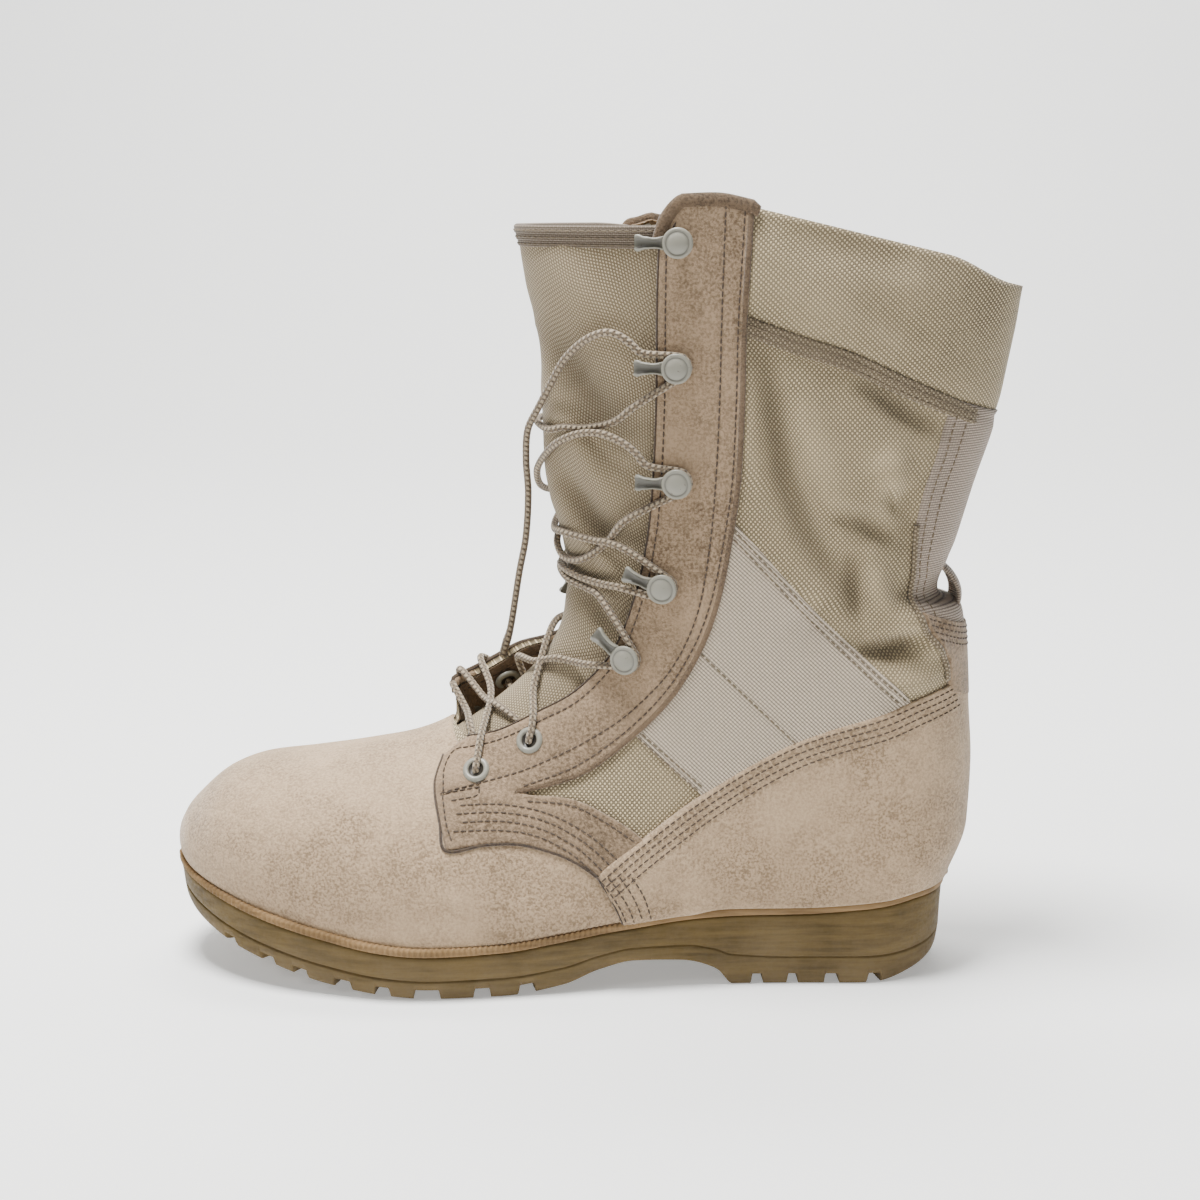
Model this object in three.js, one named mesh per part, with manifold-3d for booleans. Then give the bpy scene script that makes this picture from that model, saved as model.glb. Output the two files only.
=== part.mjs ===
// Left combat boot: suede vamp and counter, woven shaft, folded tongue, hooks, lace and lugged sole.
// Millimetres, +Z up. The toe points to -X, the outer (lateral) side of the foot faces -Y, and the
// origin is on the floor under the middle of the heel.
import * as THREE from "three";
import Module from "manifold-3d";
import { mergeVertices } from "three/addons/utils/BufferGeometryUtils.js";

const wasm = await Module();
wasm.setup();

// ---- driving dimensions -------------------------------------------------------------------------
const toeTip = -272.5; // front end of the sole
const heelEnd = 43; // back end of the sole
const toeRound = 78; // length over which the toe outline closes
const heelRound = 38; // length over which the heel outline closes
const wall = 2.4; // suede or cloth with its lining
const gap = 0.3; // between pieces that meet
const featherInset = 3.2; // sole edge standing out past the upper at the forefoot
const weltHeight = 3.4;
const weltWidth = 14;
const insoleThick = 4;
const insoleLift = 1; // glue line under the insole, over the faceted rise of the toe
const insoleClear = 2.2; // between the insole's edge and the wall
const tongueThick = 1.8;
const tongueClear = 1.3; // between the tongue and the inside of the wall
const tongueOverlap = 0.09; // how far the tongue's sides reach behind the facings, in turns of t
const tongueTopZ = 297; // height of the tongue's top edge
const laceRadius = 1.6;
const laceClear = 4.5; // from a hook post's axis to the middle of the lace beside it
const laceLift = 2.3; // from the surface to the middle of the lace beside a post
const laceStep = 9.6; // length of one step of a lace's tube
const hookDiscRadius = 5.75;
const hookPostRadius = 2.6;
const hookTabZ = 3.9; // underside of a hook's tab, over the lace
const hookTabLength = 16.4;
const hookTabWidth = 8;
const eyeletRadius = 5.2;
const eyeletHole = 2.9;
const grooveDepth = 4.5;
const soleSteps = 32; // stations along the sole, the same for its layers so that they meet evenly

const colours = {
  suede: 0xb7a18a,
  cloth: 0xa89c7c,
  rubber: 0x7d6644,
  welt: 0x9a8058,
  lace: 0x8d8069,
  metal: 0x9c968c,
  insole: 0x8c8674,
};

// Rows of numbers as records with named columns.
function table(columns, rows) {
  return rows.map((row) => Object.fromEntries(row.map((value, i) => [columns[i], value])));
}

// Sole outline and heights, a row for each station along the length.
// centre and half give the plan outline before its ends are rounded; top is the welt's upper face,
// bottom the underside with its arch and toe spring, and split where midsole and outsole meet.
const soleStations = table(
  ["x", "centre", "half", "top", "split", "bottom"],
  [
    [-272.5, 8, 46, 45.5, 33, 26],
    [-262, 7.5, 47, 40.8, 27.6, 20],
    [-247, 6, 49, 36.4, 22, 14],
    [-230, 4.5, 51, 32, 17.2, 9.2],
    [-208, 2.5, 53, 27.3, 12.4, 4],
    [-185, -1, 54.5, 23.5, 9.2, 1.2],
    [-165, -3.5, 52.5, 22, 8, 0],
    [-137, -5.5, 47, 22.6, 8.2, 0],
    [-113, -6, 42.5, 25.6, 11, 3.2],
    [-98, -5.6, 40, 27.8, 15, 8.6],
    [-84, -5, 38.5, 29.6, 17.4, 11.4],
    [-64, -3.5, 37.3, 32, 17.6, 10.6],
    [-52, -2.7, 37, 32.8, 15.6, 6.8],
    [-45, -2.2, 36.8, 33, 13, 0],
    [-20, -1, 37.2, 33.3, 11.6, 0],
    [14, -0.3, 38, 36, 11.8, 0],
    [30, 0, 38, 37.6, 12.8, 3],
    [43, 0, 38, 37.6, 14.6, 7],
  ],
);

// Sections of the upper, fanned from the toe, round the heel and up the shaft.
// Each one lies in a plane through the crest point (crestX, crestZ) and the foot point. foot is the
// foot point's x and rise its height above the sole: 0 along the sole's edge, then up the back seam.
// outer and inner are the half breadths on the lateral and medial sides, wide where along the
// section they occur, power the roundness over the crest (1 is an ellipse) and round the length
// over which the back closes.
const upperSections = table(
  ["foot", "rise", "crestX", "crestZ", "crestY", "outer", "inner", "wide", "power", "round"],
  [
    [-269.5, 0, -269.6, 46, 8, 0, 0, 0.7, 1, 38],
    [-268, 0, -270.6, 53, 8, 13, 13, 0.72, 1, 38],
    [-264.5, 0, -268, 59.6, 8, 21.5, 21.5, 0.74, 0.97, 38],
    [-258, 0, -261.5, 67, 8, 29, 29, 0.76, 0.94, 38],
    [-247, 0, -250.5, 76, 7, 36.5, 36.5, 0.78, 0.92, 38],
    [-231, 0, -236, 81.6, 6, 43.5, 43, 0.8, 0.92, 38],
    [-209, 0, -216, 84.4, 5, 49, 48.5, 0.8, 0.95, 38],
    [-182, 0, -193, 88, 5, 51.5, 51, 0.8, 1, 38],
    [-150, 0, -172, 92.6, 5, 48.5, 48.5, 0.8, 1, 38],
    [-115, 0, -157, 99.5, 5, 43.5, 44, 0.8, 1, 38],
    [-75, 0, -144, 109.5, 4, 39.5, 39, 0.78, 0.98, 38],
    [-32, 0, -132, 120, 3, 38.5, 37.5, 0.75, 0.95, 38],
    [8, 0, -122, 131.5, 2, 38, 37, 0.72, 0.92, 38],
    [42.6, 0, -116.5, 146, 1, 37.5, 37, 0.68, 0.9, 38],
    [50, 22, -115.5, 162, 0, 36.5, 36.5, 0.64, 0.88, 38],
    [50.8, 46, -117.5, 177, 0, 35, 35, 0.6, 0.86, 38],
    [49.2, 70, -122, 191, 0, 34, 34, 0.57, 0.85, 39],
    [47.6, 94, -124.5, 207, 0, 33.5, 33.5, 0.55, 0.85, 41],
    [45.4, 112, -124.5, 221, 0, 33.5, 33.5, 0.54, 0.85, 44],
    [38.6, 125.5, -125, 231, 0, 33.8, 33.8, 0.53, 0.85, 48],
    [42.4, 138, -125.8, 241, 0, 34, 34, 0.52, 0.85, 52],
    [48.6, 160, -128, 256, 0, 34.5, 34.5, 0.51, 0.85, 58],
    [56, 184, -131, 275, 0, 35, 35, 0.5, 0.85, 66],
    [61, 210, -133.5, 298, 0, 35.5, 35.5, 0.49, 0.85, 74],
    [65.6, 236, -134, 321, 0, 36, 36, 0.48, 0.85, 80],
  ],
);
const lastSection = upperSections.length - 1;
const heelSection = 13; // row whose foot is the back corner of the heel
const frontShare = 0.6; // share of t from the crest to the widest place, the rest goes round the back

// Front edges of the lateral and medial facings, from the bottom of the throat to the top.
const throatBottom = { x: -158, z: 97.6 };
const facingEdges = {
  lateral: [
    { x: -151, z: 95.5 },
    { x: -138, z: 99.5 },
    { x: -122, z: 108 },
    { x: -107, z: 117.5 },
    { x: -93, z: 134 },
    { x: -84.5, z: 157 },
    { x: -80, z: 180 },
    { x: -78, z: 203 },
    { x: -77, z: 234 },
    { x: -77, z: 270 },
    { x: -76, z: 300 },
  ],
  medial: [
    { x: -153, z: 101 },
    { x: -141, z: 108 },
    { x: -127, z: 117.5 },
    { x: -114, z: 129 },
    { x: -104, z: 145 },
    { x: -97, z: 163 },
    { x: -94, z: 183 },
    { x: -92, z: 205 },
    { x: -90, z: 235 },
    { x: -89, z: 270 },
    { x: -87, z: 302 },
  ],
};

// Hooks and eyelets on the lateral facing: centre of the disc or ring, and how far the hook's tab
// points up from level, in degrees. The medial ones sit the same distance behind their own edge.
const hookPlaces = [
  { x: -87.2, z: 131.9, tilt: 37 },
  { x: -73.8, z: 160.8, tilt: 20 },
  { x: -68.7, z: 201.9, tilt: 0 },
  { x: -69.4, z: 245.2, tilt: 0 },
  { x: -69.4, z: 290.7, tilt: 0 },
];
const eyeletPlaces = [
  { x: -147, z: 85.2 },
  { x: -125.8, z: 97 },
];

// Strands that cross the throat or go round the tongue between two hooks. Each starts at the first
// place and ends at the last one: a hook is named by its side and number with where the lace passes
// its post, above or below, and null stands for an eyelet, where the strand stops clear of the ring.
// The rows between are s, t and height over the surface, negative inside the wall's thickness.
const laceCrossings = [
  {
    start: null,
    rows: [[9.2, 0.12, 2.3], [9.25, 0.07, 2.3], [9.3, 0, 0.2], [9.3, -0.08, -1.3], [9.3, -0.14, -1.3]],
    end: null,
  },
  {
    start: null,
    rows: [
      [9.3, -0.235, 2.3], [9.5, -0.2, 2.3], [9.75, -0.13, -0.8], [10, -0.05, -1.3], [10.15, 0.03, -0.5],
      [10.2, 0.095, 2.3], [10.2, 0.105, 2.3],
    ],
    end: null,
  },
  {
    start: null,
    rows: [[9.45, 0.11, 2.3], [9.6, 0.08, 2.3], [9.85, 0, -0.3], [10.1, -0.1, -1.3], [10.3, -0.165, -1.3]],
    end: null,
  },
  {
    start: null,
    rows: [
      [10.55, -0.25, 2.3], [10.75, -0.222, 2.3], [11.05, -0.16, -0.6], [11.5, -0.1, -1.3],
      [12.2, 0, -1.3], [12.6, 0.08, -0.4], [12.85, 0.15, 2.3],
    ],
    end: { side: 1, hook: 1, where: -1 },
  },
  {
    start: null,
    rows: [
      [10.6, 0.14, 2.3], [10.85, 0.115, 2.3], [11.15, 0.05, -0.6], [11.5, -0.04, -1.3],
      [12.02, -0.13, -1.3], [12.25, -0.18, -1.2], [12.5, -0.225, 1.6], [12.7, -0.25, 2.4],
    ],
    end: { side: -1, hook: 1, where: -1 },
  },
  {
    start: { side: -1, hook: 1, where: 1 },
    rows: [
      [14, -0.275, 2.3], [14.25, -0.235, 0.6], [14.15, -0.19, -1.4], [14, -0.1, -1.3],
      [14.1, 0, -1.3], [14.5, 0.12, -1.3], [14.9, 0.22, 0.2], [15.15, 0.285, 2.4],
    ],
    end: { side: 1, hook: 2, where: -1 },
  },
  {
    start: { side: 1, hook: 1, where: 1 },
    rows: [
      [13.85, 0.225, 2.4], [14, 0.15, 0.2], [14.1, 0.08, -1.3], [14.15, 0, -1.3], [14.2, -0.1, -1.3],
      [14.35, -0.183, -1.3], [14.6, -0.25, 0.2], [14.9, -0.31, 2.3],
    ],
    end: { side: -1, hook: 2, where: -1 },
  },
  {
    start: { side: -1, hook: 2, where: 1 },
    rows: [
      [16.05, -0.36, 2.3], [15.95, -0.31, 0.6], [15.7, -0.26, -1.4], [15.3, -0.13, -1.3], [15.1, 0, -1.3],
      [15.6, 0.13, -1.3], [16.5, 0.25, -1.2], [17.3, 0.33, 1.6],
    ],
    end: { side: 1, hook: 3, where: -1 },
  },
  {
    start: { side: 1, hook: 2, where: 1 },
    rows: [
      [16, 0.3, 2.4], [15.7, 0.24, 0.2], [15.2, 0.12, -1.3], [14.75, 0, -1.3], [14.5, -0.08, -1.3],
      [14.72, -0.166, -1.3], [15.16, -0.23, -1.3], [15.99, -0.311, -0.8], [16.74, -0.369, 1.6],
    ],
    end: { side: -1, hook: 3, where: -1 },
  },
  {
    start: { side: 1, hook: 3, where: 1 },
    rows: [
      [18.85, 0.36, 2.4], [18.6, 0.28, -0.2], [18.3, 0.15, -1.3], [18.05, 0, -1.3], [18.04, -0.134, -1.3],
      [18.43, -0.212, -1.3], [18.87, -0.29, -1.2], [19.63, -0.364, 0.6], [20.4, -0.415, 2.3],
    ],
    end: { side: -1, hook: 4, where: -1 },
  },
];

// The slack loop from the third lateral hook round to the fourth medial one, and the loose end from
// the fourth lateral hook down past the throat: x, y and z of points along them.
const laceLoop = [
  [-74, -34.6, 206.8], [-81, -34.6, 208.4], [-85, -34, 213], [-90.5, -32.6, 217], [-98.5, -29.4, 219.8],
  [-107, -24.6, 219], [-115.3, -17.4, 214.5], [-120.6, -8, 208], [-123.4, 1.5, 201], [-122, 13, 193.5],
  [-116, 25, 191], [-108, 35, 198], [-101, 42, 209], [-94, 44, 222], [-88, 42, 234], [-84.5, 37.5, 242],
];
const laceEnd = [
  [-76, -35.9, 250], [-83, -35.4, 250.8], [-87.4, -35, 254.6], [-92.8, -34.2, 257.8], [-98.4, -31.8, 257.8],
  [-105.3, -27, 254], [-112.2, -21, 246.8], [-117.2, -16, 237.6], [-122.4, -10, 227.5], [-126.8, -3, 218],
  [-127.8, 4, 205], [-127.2, 8.5, 191], [-128.4, 12, 173], [-131.4, 15, 157], [-135, 19, 135],
  [-137.4, 22, 126], [-140, 25.5, 116],
];

// ---- helpers ------------------------------------------------------------------------------------

// Smooth value of one column at a place along the key column, with no overshoot between rows.
function smoothColumn(rows, key, column, at) {
  const last = rows.length - 1;
  const keyOf = (i) => (key === null ? i : rows[i][key]);
  if (at <= keyOf(0)) return rows[0][column];
  if (at >= keyOf(last)) return rows[last][column];
  let i = 0;
  while (at > keyOf(i + 1)) i += 1;
  const slope = (j) => (rows[j + 1][column] - rows[j][column]) / (keyOf(j + 1) - keyOf(j));
  const tangent = (j) => {
    if (j === 0) return slope(0);
    if (j === last) return slope(last - 1);
    const before = slope(j - 1);
    const after = slope(j);
    return before * after <= 0 ? 0 : (2 * before * after) / (before + after);
  };
  const step = keyOf(i + 1) - keyOf(i);
  const v = (at - keyOf(i)) / step;
  const start = rows[i][column];
  const end = rows[i + 1][column];
  const rise = v * v * (3 - 2 * v);
  const lead = v * (1 - v) * (1 - v) * step * tangent(i);
  const trail = v * v * (v - 1) * step * tangent(i + 1);
  return start + (end - start) * rise + lead + trail;
}

// Rounding of the outline towards the toe and the heel, 1 in the middle and 0 at the tip.
function toeRounding(x) {
  const k = THREE.MathUtils.clamp((toeTip + toeRound - x) / toeRound, 0, 1);
  return Math.pow(1 - Math.pow(k, 2.3), 1 / 2.3);
}
function backRounding(x, end, length) {
  const k = THREE.MathUtils.clamp((x - end + length) / length, 0, 1);
  return Math.pow(1 - Math.pow(k, 2.1), 1 / 2.1);
}

const soleCentre = (x) => smoothColumn(soleStations, "x", "centre", x);
const soleBreadth = (x) => smoothColumn(soleStations, "x", "half", x) * toeRounding(x);
const soleHalf = (x) => soleBreadth(x) * backRounding(x, heelEnd, heelRound);
const soleTop = (x) => smoothColumn(soleStations, "x", "top", x);
const soleBottom = (x) => smoothColumn(soleStations, "x", "bottom", x);
const soleSplit = (x) => smoothColumn(soleStations, "x", "split", x);

// A point on the outline moved in by inset: the whole outline shrinks towards its middle.
function outlinePoint(x, side, inset) {
  const middle = (toeTip + heelEnd) / 2;
  const length = heelEnd - toeTip;
  const half = Math.max(0, soleHalf(x) * (1 - inset / 46));
  const moved = middle + (x - middle) * (1 - (2 * inset) / length);
  return { x: moved, y: soleCentre(x) + side * half };
}

// Stations along the length, close together at both ends.
function stationsAlong(count) {
  const list = [];
  for (let i = 0; i <= count; i += 1) {
    const v = i / count;
    const eased = v - Math.sin(2 * Math.PI * v) / (2 * Math.PI) * 0.93;
    list.push(toeTip + (heelEnd - toeTip) * eased);
  }
  return list;
}

// Closed mesh from a list of vertices and faces, with doubled corners merged.
function closedMesh(positions, faces) {
  const soup = new THREE.BufferGeometry();
  soup.setAttribute("position", new THREE.Float32BufferAttribute(positions, 3));
  soup.setIndex(faces);
  const merged = mergeVertices(soup, 1e-3);
  const index = merged.getIndex().array;
  const kept = [];
  for (let i = 0; i < index.length; i += 3) {
    const [a, b, c] = [index[i], index[i + 1], index[i + 2]];
    if (a !== b && b !== c && c !== a) kept.push(a, b, c);
  }
  merged.setIndex(kept);
  return merged;
}

// Two triangles for the four corners of a patch.
function pushQuad(faces, a, b, c, d) {
  faces.push(a, b, c, a, c, d);
}

function toSolid(geometry) {
  const bare = geometry.clone();
  bare.deleteAttribute("normal");
  bare.deleteAttribute("uv");
  const merged = bare.getIndex() && !geometry.getAttribute("normal") ? bare : mergeVertices(bare, 1e-3);
  const vertProperties = new Float32Array(merged.getAttribute("position").array);
  const triVerts = new Uint32Array(merged.getIndex().array);
  return new wasm.Manifold(new wasm.Mesh({ numProp: 3, vertProperties, triVerts }));
}

function fromSolid(solid) {
  const mesh = solid.getMesh();
  const geometry = new THREE.BufferGeometry();
  geometry.setAttribute("position", new THREE.BufferAttribute(new Float32Array(mesh.vertProperties), 3));
  geometry.setIndex(new THREE.BufferAttribute(new Uint32Array(mesh.triVerts), 1));
  return geometry;
}

const root = new THREE.Group();

function addPiece(name, geometry, colour, roughness, metalness = 0) {
  geometry.computeVertexNormals();
  const material = new THREE.MeshStandardMaterial({ color: colour, roughness, metalness });
  const mesh = new THREE.Mesh(geometry, material);
  mesh.name = name;
  root.add(mesh);
  return mesh;
}

// ---- form of the upper --------------------------------------------------------------------------

// Back of the upper as seen from the side: x for each height.
const backSeam = upperSections.slice(heelSection).map((row) => ({
  x: row.foot,
  z: soleTop(row.foot) + gap + row.rise,
}));
const backX = (z) => smoothColumn(backSeam, "z", "x", z);

// Everything about the section at s, where whole numbers are rows of upperSections.
function sectionAt(s) {
  const read = (column) => smoothColumn(upperSections, null, column, s);
  const onSole = s < heelSection;
  const footZ = soleTop(read("foot")) + gap + read("rise");
  const footX = onSole ? read("foot") : backX(footZ);
  const held = onSole ? featherBreadth(footX) : Infinity;
  return {
    crest: { x: read("crestX"), y: read("crestY"), z: read("crestZ") },
    foot: { x: footX, y: soleCentre(footX), z: footZ },
    outer: read("outer"),
    inner: read("inner"),
    held,
    wide: read("wide"),
    power: read("power"),
    round: read("round"),
  };
}

// Half breadth of the upper where it stands on the sole, before it closes round the heel: in from
// the sole's edge at the forefoot, almost flush at the heel.
function featherBreadth(x) {
  const from = upperSections[0].foot;
  const to = upperSections[heelSection].foot;
  const v = THREE.MathUtils.clamp((x - from) / (to - from), 0, 1);
  const inset = THREE.MathUtils.lerp(featherInset, 0.8, THREE.MathUtils.smoothstep(v, 0.55, 0.95));
  return soleBreadth(toeTip + v * (heelEnd - toeTip)) * (1 - inset / 46);
}

// Point of the outer surface: t runs from -1 (lateral foot or back seam) over the crest at 0 to +1.
// From the crest to the widest place it is part of an ellipse, then it runs back at that breadth
// and closes round the heel or the back of the shaft.
function formPoint(s, t) {
  const r = sectionAt(s);
  if (s === 0) return new THREE.Vector3(r.foot.x, r.foot.y, r.foot.z);
  const side = t < 0 ? -1 : 1;
  const q = Math.abs(t);
  const half = side < 0 ? r.outer : r.inner;
  const inFront = q < frontShare;
  const turn = (Math.PI / 2) * (inFront ? q / frontShare : (q - frontShare) / (1 - frontShare));
  const along = inFront
    ? r.wide * (1 - Math.pow(Math.cos(turn), r.power))
    : r.wide + (1 - r.wide) * Math.sin(turn);
  const x = THREE.MathUtils.lerp(r.crest.x, r.foot.x, along);
  const z = THREE.MathUtils.lerp(r.crest.z, r.foot.z, along);
  const held = Math.min(half, r.held);
  const breadth = inFront
    ? half * Math.pow(Math.sin(turn), r.power)
    : THREE.MathUtils.lerp(half, held, 1 - Math.cos(turn)) * backRounding(x, backX(z), r.round);
  return new THREE.Vector3(x, THREE.MathUtils.lerp(r.crest.y, r.foot.y, along) + side * breadth, z);
}

// Outward normal of the form, from short steps along s and t.
function formNormal(s, t) {
  if (s < 0.2) return new THREE.Vector3(-1, 0, 0);
  const stepS = 0.04;
  const stepT = 0.004;
  const lowS = Math.max(0.1, s - stepS);
  const highS = Math.min(lastSection, s + stepS);
  const alongS = formPoint(highS, t).sub(formPoint(lowS, t));
  const atSeam = Math.abs(t) > 1 - stepT;
  const onBack = s >= heelSection;
  if (atSeam && onBack) {
    return new THREE.Vector3(alongS.z, 0, -alongS.x).normalize();
  }
  const alongT = formPoint(s, Math.min(1, t + stepT)).sub(formPoint(s, Math.max(-1, t - stepT)));
  return alongS.cross(alongT).normalize();
}

// The form moved out along its normal, or in where out is below zero.
function skinPoint(s, t, out) {
  return formPoint(s, t).addScaledVector(formNormal(s, t), out);
}

// The s and t of the surface point that is seen at (x, z) from the side.
function placeOnForm(x, z, side) {
  let low = 0.02;
  let high = lastSection;
  const offset = (s) => {
    const r = sectionAt(s);
    return (r.foot.x - r.crest.x) * (z - r.crest.z) - (r.foot.z - r.crest.z) * (x - r.crest.x);
  };
  for (let i = 0; i < 40; i += 1) {
    const middle = (low + high) / 2;
    if (offset(middle) > 0) low = middle;
    else high = middle;
  }
  const s = (low + high) / 2;
  const r = sectionAt(s);
  const span = Math.hypot(r.foot.x - r.crest.x, r.foot.z - r.crest.z);
  const along = THREE.MathUtils.clamp(Math.hypot(x - r.crest.x, z - r.crest.z) / span, 0, 1);
  let q;
  if (along < r.wide) {
    const cosine = Math.pow(1 - along / r.wide, 1 / r.power);
    q = (Math.acos(cosine) / (Math.PI / 2)) * frontShare;
  } else {
    const sine = (along - r.wide) / (1 - r.wide);
    q = frontShare + (Math.asin(sine) / (Math.PI / 2)) * (1 - frontShare);
  }
  return { s, t: side * q };
}

// Throat edge of one side as rows of s and t.
function edgeRows(points, side) {
  const start = placeOnForm(throatBottom.x, throatBottom.z, side);
  const rows = points.map((point) => placeOnForm(point.x, point.z, side));
  return [{ s: start.s, t: 0 }, ...rows, { s: lastSection + 0.01, t: rows[rows.length - 1].t }];
}
const edges = {
  lateral: edgeRows(facingEdges.lateral, -1),
  medial: edgeRows(facingEdges.medial, 1),
};
const throatStart = Math.max(edges.lateral[0].s, edges.medial[0].s);
const edgeT = (side, s) => (s <= throatStart ? 0 : smoothColumn(edges[side], "s", "t", s));

// Rows of s for the upper: two steps for each section up to the plain top of the shaft, more where the
// throat opens and where the edge turns round the heel.
function upperRows() {
  const rows = [0, 0.35, 0.7];
  for (let s = 1; s <= lastSection; s += s < 20 ? 0.5 : 1) rows.push(s);
  rows.push(throatStart, throatStart + 0.16);
  rows.push(12.3, 12.7, 12.85, 12.95);
  return [...new Set(rows)].sort((a, b) => a - b);
}

// Grid of the outer face, then of the inner one, for one half of the upper, with the rims between.
function addHalf(positions, faces, rows, columns, side) {
  const edge = side < 0 ? "lateral" : "medial";
  const across = (s, j) => {
    const open = edgeT(edge, s);
    return open + (side - open) * (j / columns);
  };
  const base = positions.length / 3;
  const width = columns + 1;
  const layer = rows.length * width;
  for (const out of [0, -wall]) {
    for (const s of rows) {
      for (let j = 0; j <= columns; j += 1) positions.push(...skinPoint(s, across(s, j), out).toArray());
    }
  }
  const at = (inner, i, j) => base + inner * layer + i * width + j;
  const quad = (a, b, c, d) => (side < 0 ? pushQuad(faces, d, c, b, a) : pushQuad(faces, a, b, c, d));
  const lastRow = rows.length - 1;
  for (let i = 0; i < lastRow; i += 1) {
    for (let j = 0; j < columns; j += 1) {
      quad(at(0, i, j), at(0, i + 1, j), at(0, i + 1, j + 1), at(0, i, j + 1));
      quad(at(1, i, j + 1), at(1, i + 1, j + 1), at(1, i + 1, j), at(1, i, j));
    }
    const [end, next] = [i * width + columns, (i + 1) * width + columns];
    if (rows[i] < heelSection) quad(base + end, base + next, base + layer + next, base + layer + end);
    if (rows[i] >= throatStart) quad(at(0, i + 1, 0), at(0, i, 0), at(1, i, 0), at(1, i + 1, 0));
  }
  for (let j = 0; j < columns; j += 1) {
    quad(at(0, lastRow, j), at(1, lastRow, j), at(1, lastRow, j + 1), at(0, lastRow, j + 1));
  }
}

function makeUpper() {
  const positions = [];
  const faces = [];
  const rows = upperRows();
  addHalf(positions, faces, rows, 9, -1);
  addHalf(positions, faces, rows, 9, 1);
  return closedMesh(positions, faces);
}

// ---- tongue -------------------------------------------------------------------------------------

// Where the form reaches a height, going up along t.
function rowAtHeight(t, z) {
  let low = throatStart;
  let high = lastSection;
  for (let i = 0; i < 30; i += 1) {
    const middle = (low + high) / 2;
    if (skinPoint(middle, t, -wall).z < z) low = middle;
    else high = middle;
  }
  return low;
}

// A folded sheet inside the facings: it starts under the vamp and ends at a level top edge.
function makeTongue() {
  const positions = [];
  const faces = [];
  const rows = 20;
  const columns = 10;
  const from = throatStart - 0.75;
  const outside = -(wall + tongueClear);
  for (const out of [outside, outside - tongueThick]) {
    for (let i = 0; i <= rows; i += 1) {
      for (let j = 0; j <= columns; j += 1) {
        const v = j / columns;
        const middle = from + ((lastSection - from) * i) / rows;
        const low = edgeT("lateral", middle) - tongueOverlap;
        const high = edgeT("medial", middle) + tongueOverlap;
        const t = low + (high - low) * v;
        const top = rowAtHeight(t, tongueTopZ);
        const s = from + ((top - from) * i) / rows;
        positions.push(...skinPoint(s, t, out).toArray());
      }
    }
  }
  const width = columns + 1;
  const layer = (rows + 1) * width;
  const at = (inner, i, j) => inner * layer + i * width + j;
  for (let i = 0; i < rows; i += 1) {
    for (let j = 0; j < columns; j += 1) {
      pushQuad(faces, at(0, i + 1, j), at(0, i + 1, j + 1), at(0, i, j + 1), at(0, i, j));
      pushQuad(faces, at(1, i, j), at(1, i, j + 1), at(1, i + 1, j + 1), at(1, i + 1, j));
    }
    pushQuad(faces, at(0, i, 0), at(1, i, 0), at(1, i + 1, 0), at(0, i + 1, 0));
    pushQuad(faces, at(0, i + 1, columns), at(1, i + 1, columns), at(1, i, columns), at(0, i, columns));
  }
  for (let j = 0; j < columns; j += 1) {
    pushQuad(faces, at(0, 0, j + 1), at(1, 0, j + 1), at(1, 0, j), at(0, 0, j));
    pushQuad(faces, at(0, rows, j), at(1, rows, j), at(1, rows, j + 1), at(0, rows, j + 1));
  }
  return closedMesh(positions, faces);
}

// ---- sole ---------------------------------------------------------------------------------------

// Solid along the length from a list of levels: each level has an inset from the outline and a
// height above the floor as a function of x. Levels run up one side, over the top and down again.
function makeSoleLayer(levels, stations) {
  const positions = [];
  const faces = [];
  const lateral = levels.map((level) => [level, -1]);
  const medial = levels.map((level) => [level, 1]).reverse();
  const ring = [...lateral, ...medial];
  for (const x of stations) {
    for (const [level, side] of ring) {
      const p = outlinePoint(x, side, level.inset);
      positions.push(p.x, p.y, level.height(p.x));
    }
  }
  const count = ring.length;
  for (let i = 0; i < stations.length - 1; i += 1) {
    for (let j = 0; j < count; j += 1) {
      const next = (j + 1) % count;
      pushQuad(faces, i * count + j, (i + 1) * count + j, (i + 1) * count + next, i * count + next);
    }
  }
  return closedMesh(positions, faces);
}

// Cuts in from the outsole's edge, the same on both sides: x of the middle, width along the edge,
// length inwards and turn about the vertical in degrees.
const grooves = table(
  ["x", "width", "reach", "turn"],
  [
    [-249, 6, 17, -52],
    [-232.4, 6.6, 19, -38],
    [-218.4, 6.4, 20, -28],
    [-200.4, 7.2, 22, -16],
    [-184, 6, 22, -8],
    [-166, 10, 22, 0],
    [-144.2, 6.4, 20, 6],
    [-126.4, 6.4, 18, 12],
    [-35.8, 4.4, 15, 0],
    [-21.6, 4, 15, 0],
    [-6, 5.6, 15, 0],
    [12, 5.5, 15, 18],
  ],
);

// Box that cuts one groove: across the edge, turned about the vertical.
function grooveBox(groove, side) {
  const edge = outlinePoint(groove.x, side, 0);
  const box = new THREE.BoxGeometry(groove.width, groove.reach * 2, grooveDepth * 2);
  box.rotateZ(THREE.MathUtils.degToRad(groove.turn * -side));
  box.translate(edge.x, edge.y, soleBottom(groove.x));
  return toSolid(box);
}

function makeOutsole() {
  const levels = [
    { inset: 5, height: soleBottom },
    { inset: 3, height: (x) => soleBottom(x) + 2.4 },
    { inset: 2, height: soleSplit },
  ];
  let solid = toSolid(makeSoleLayer(levels, stationsAlong(soleSteps)));
  for (const groove of grooves) {
    for (const side of [-1, 1]) solid = solid.subtract(grooveBox(groove, side));
  }
  return fromSolid(solid);
}

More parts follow.
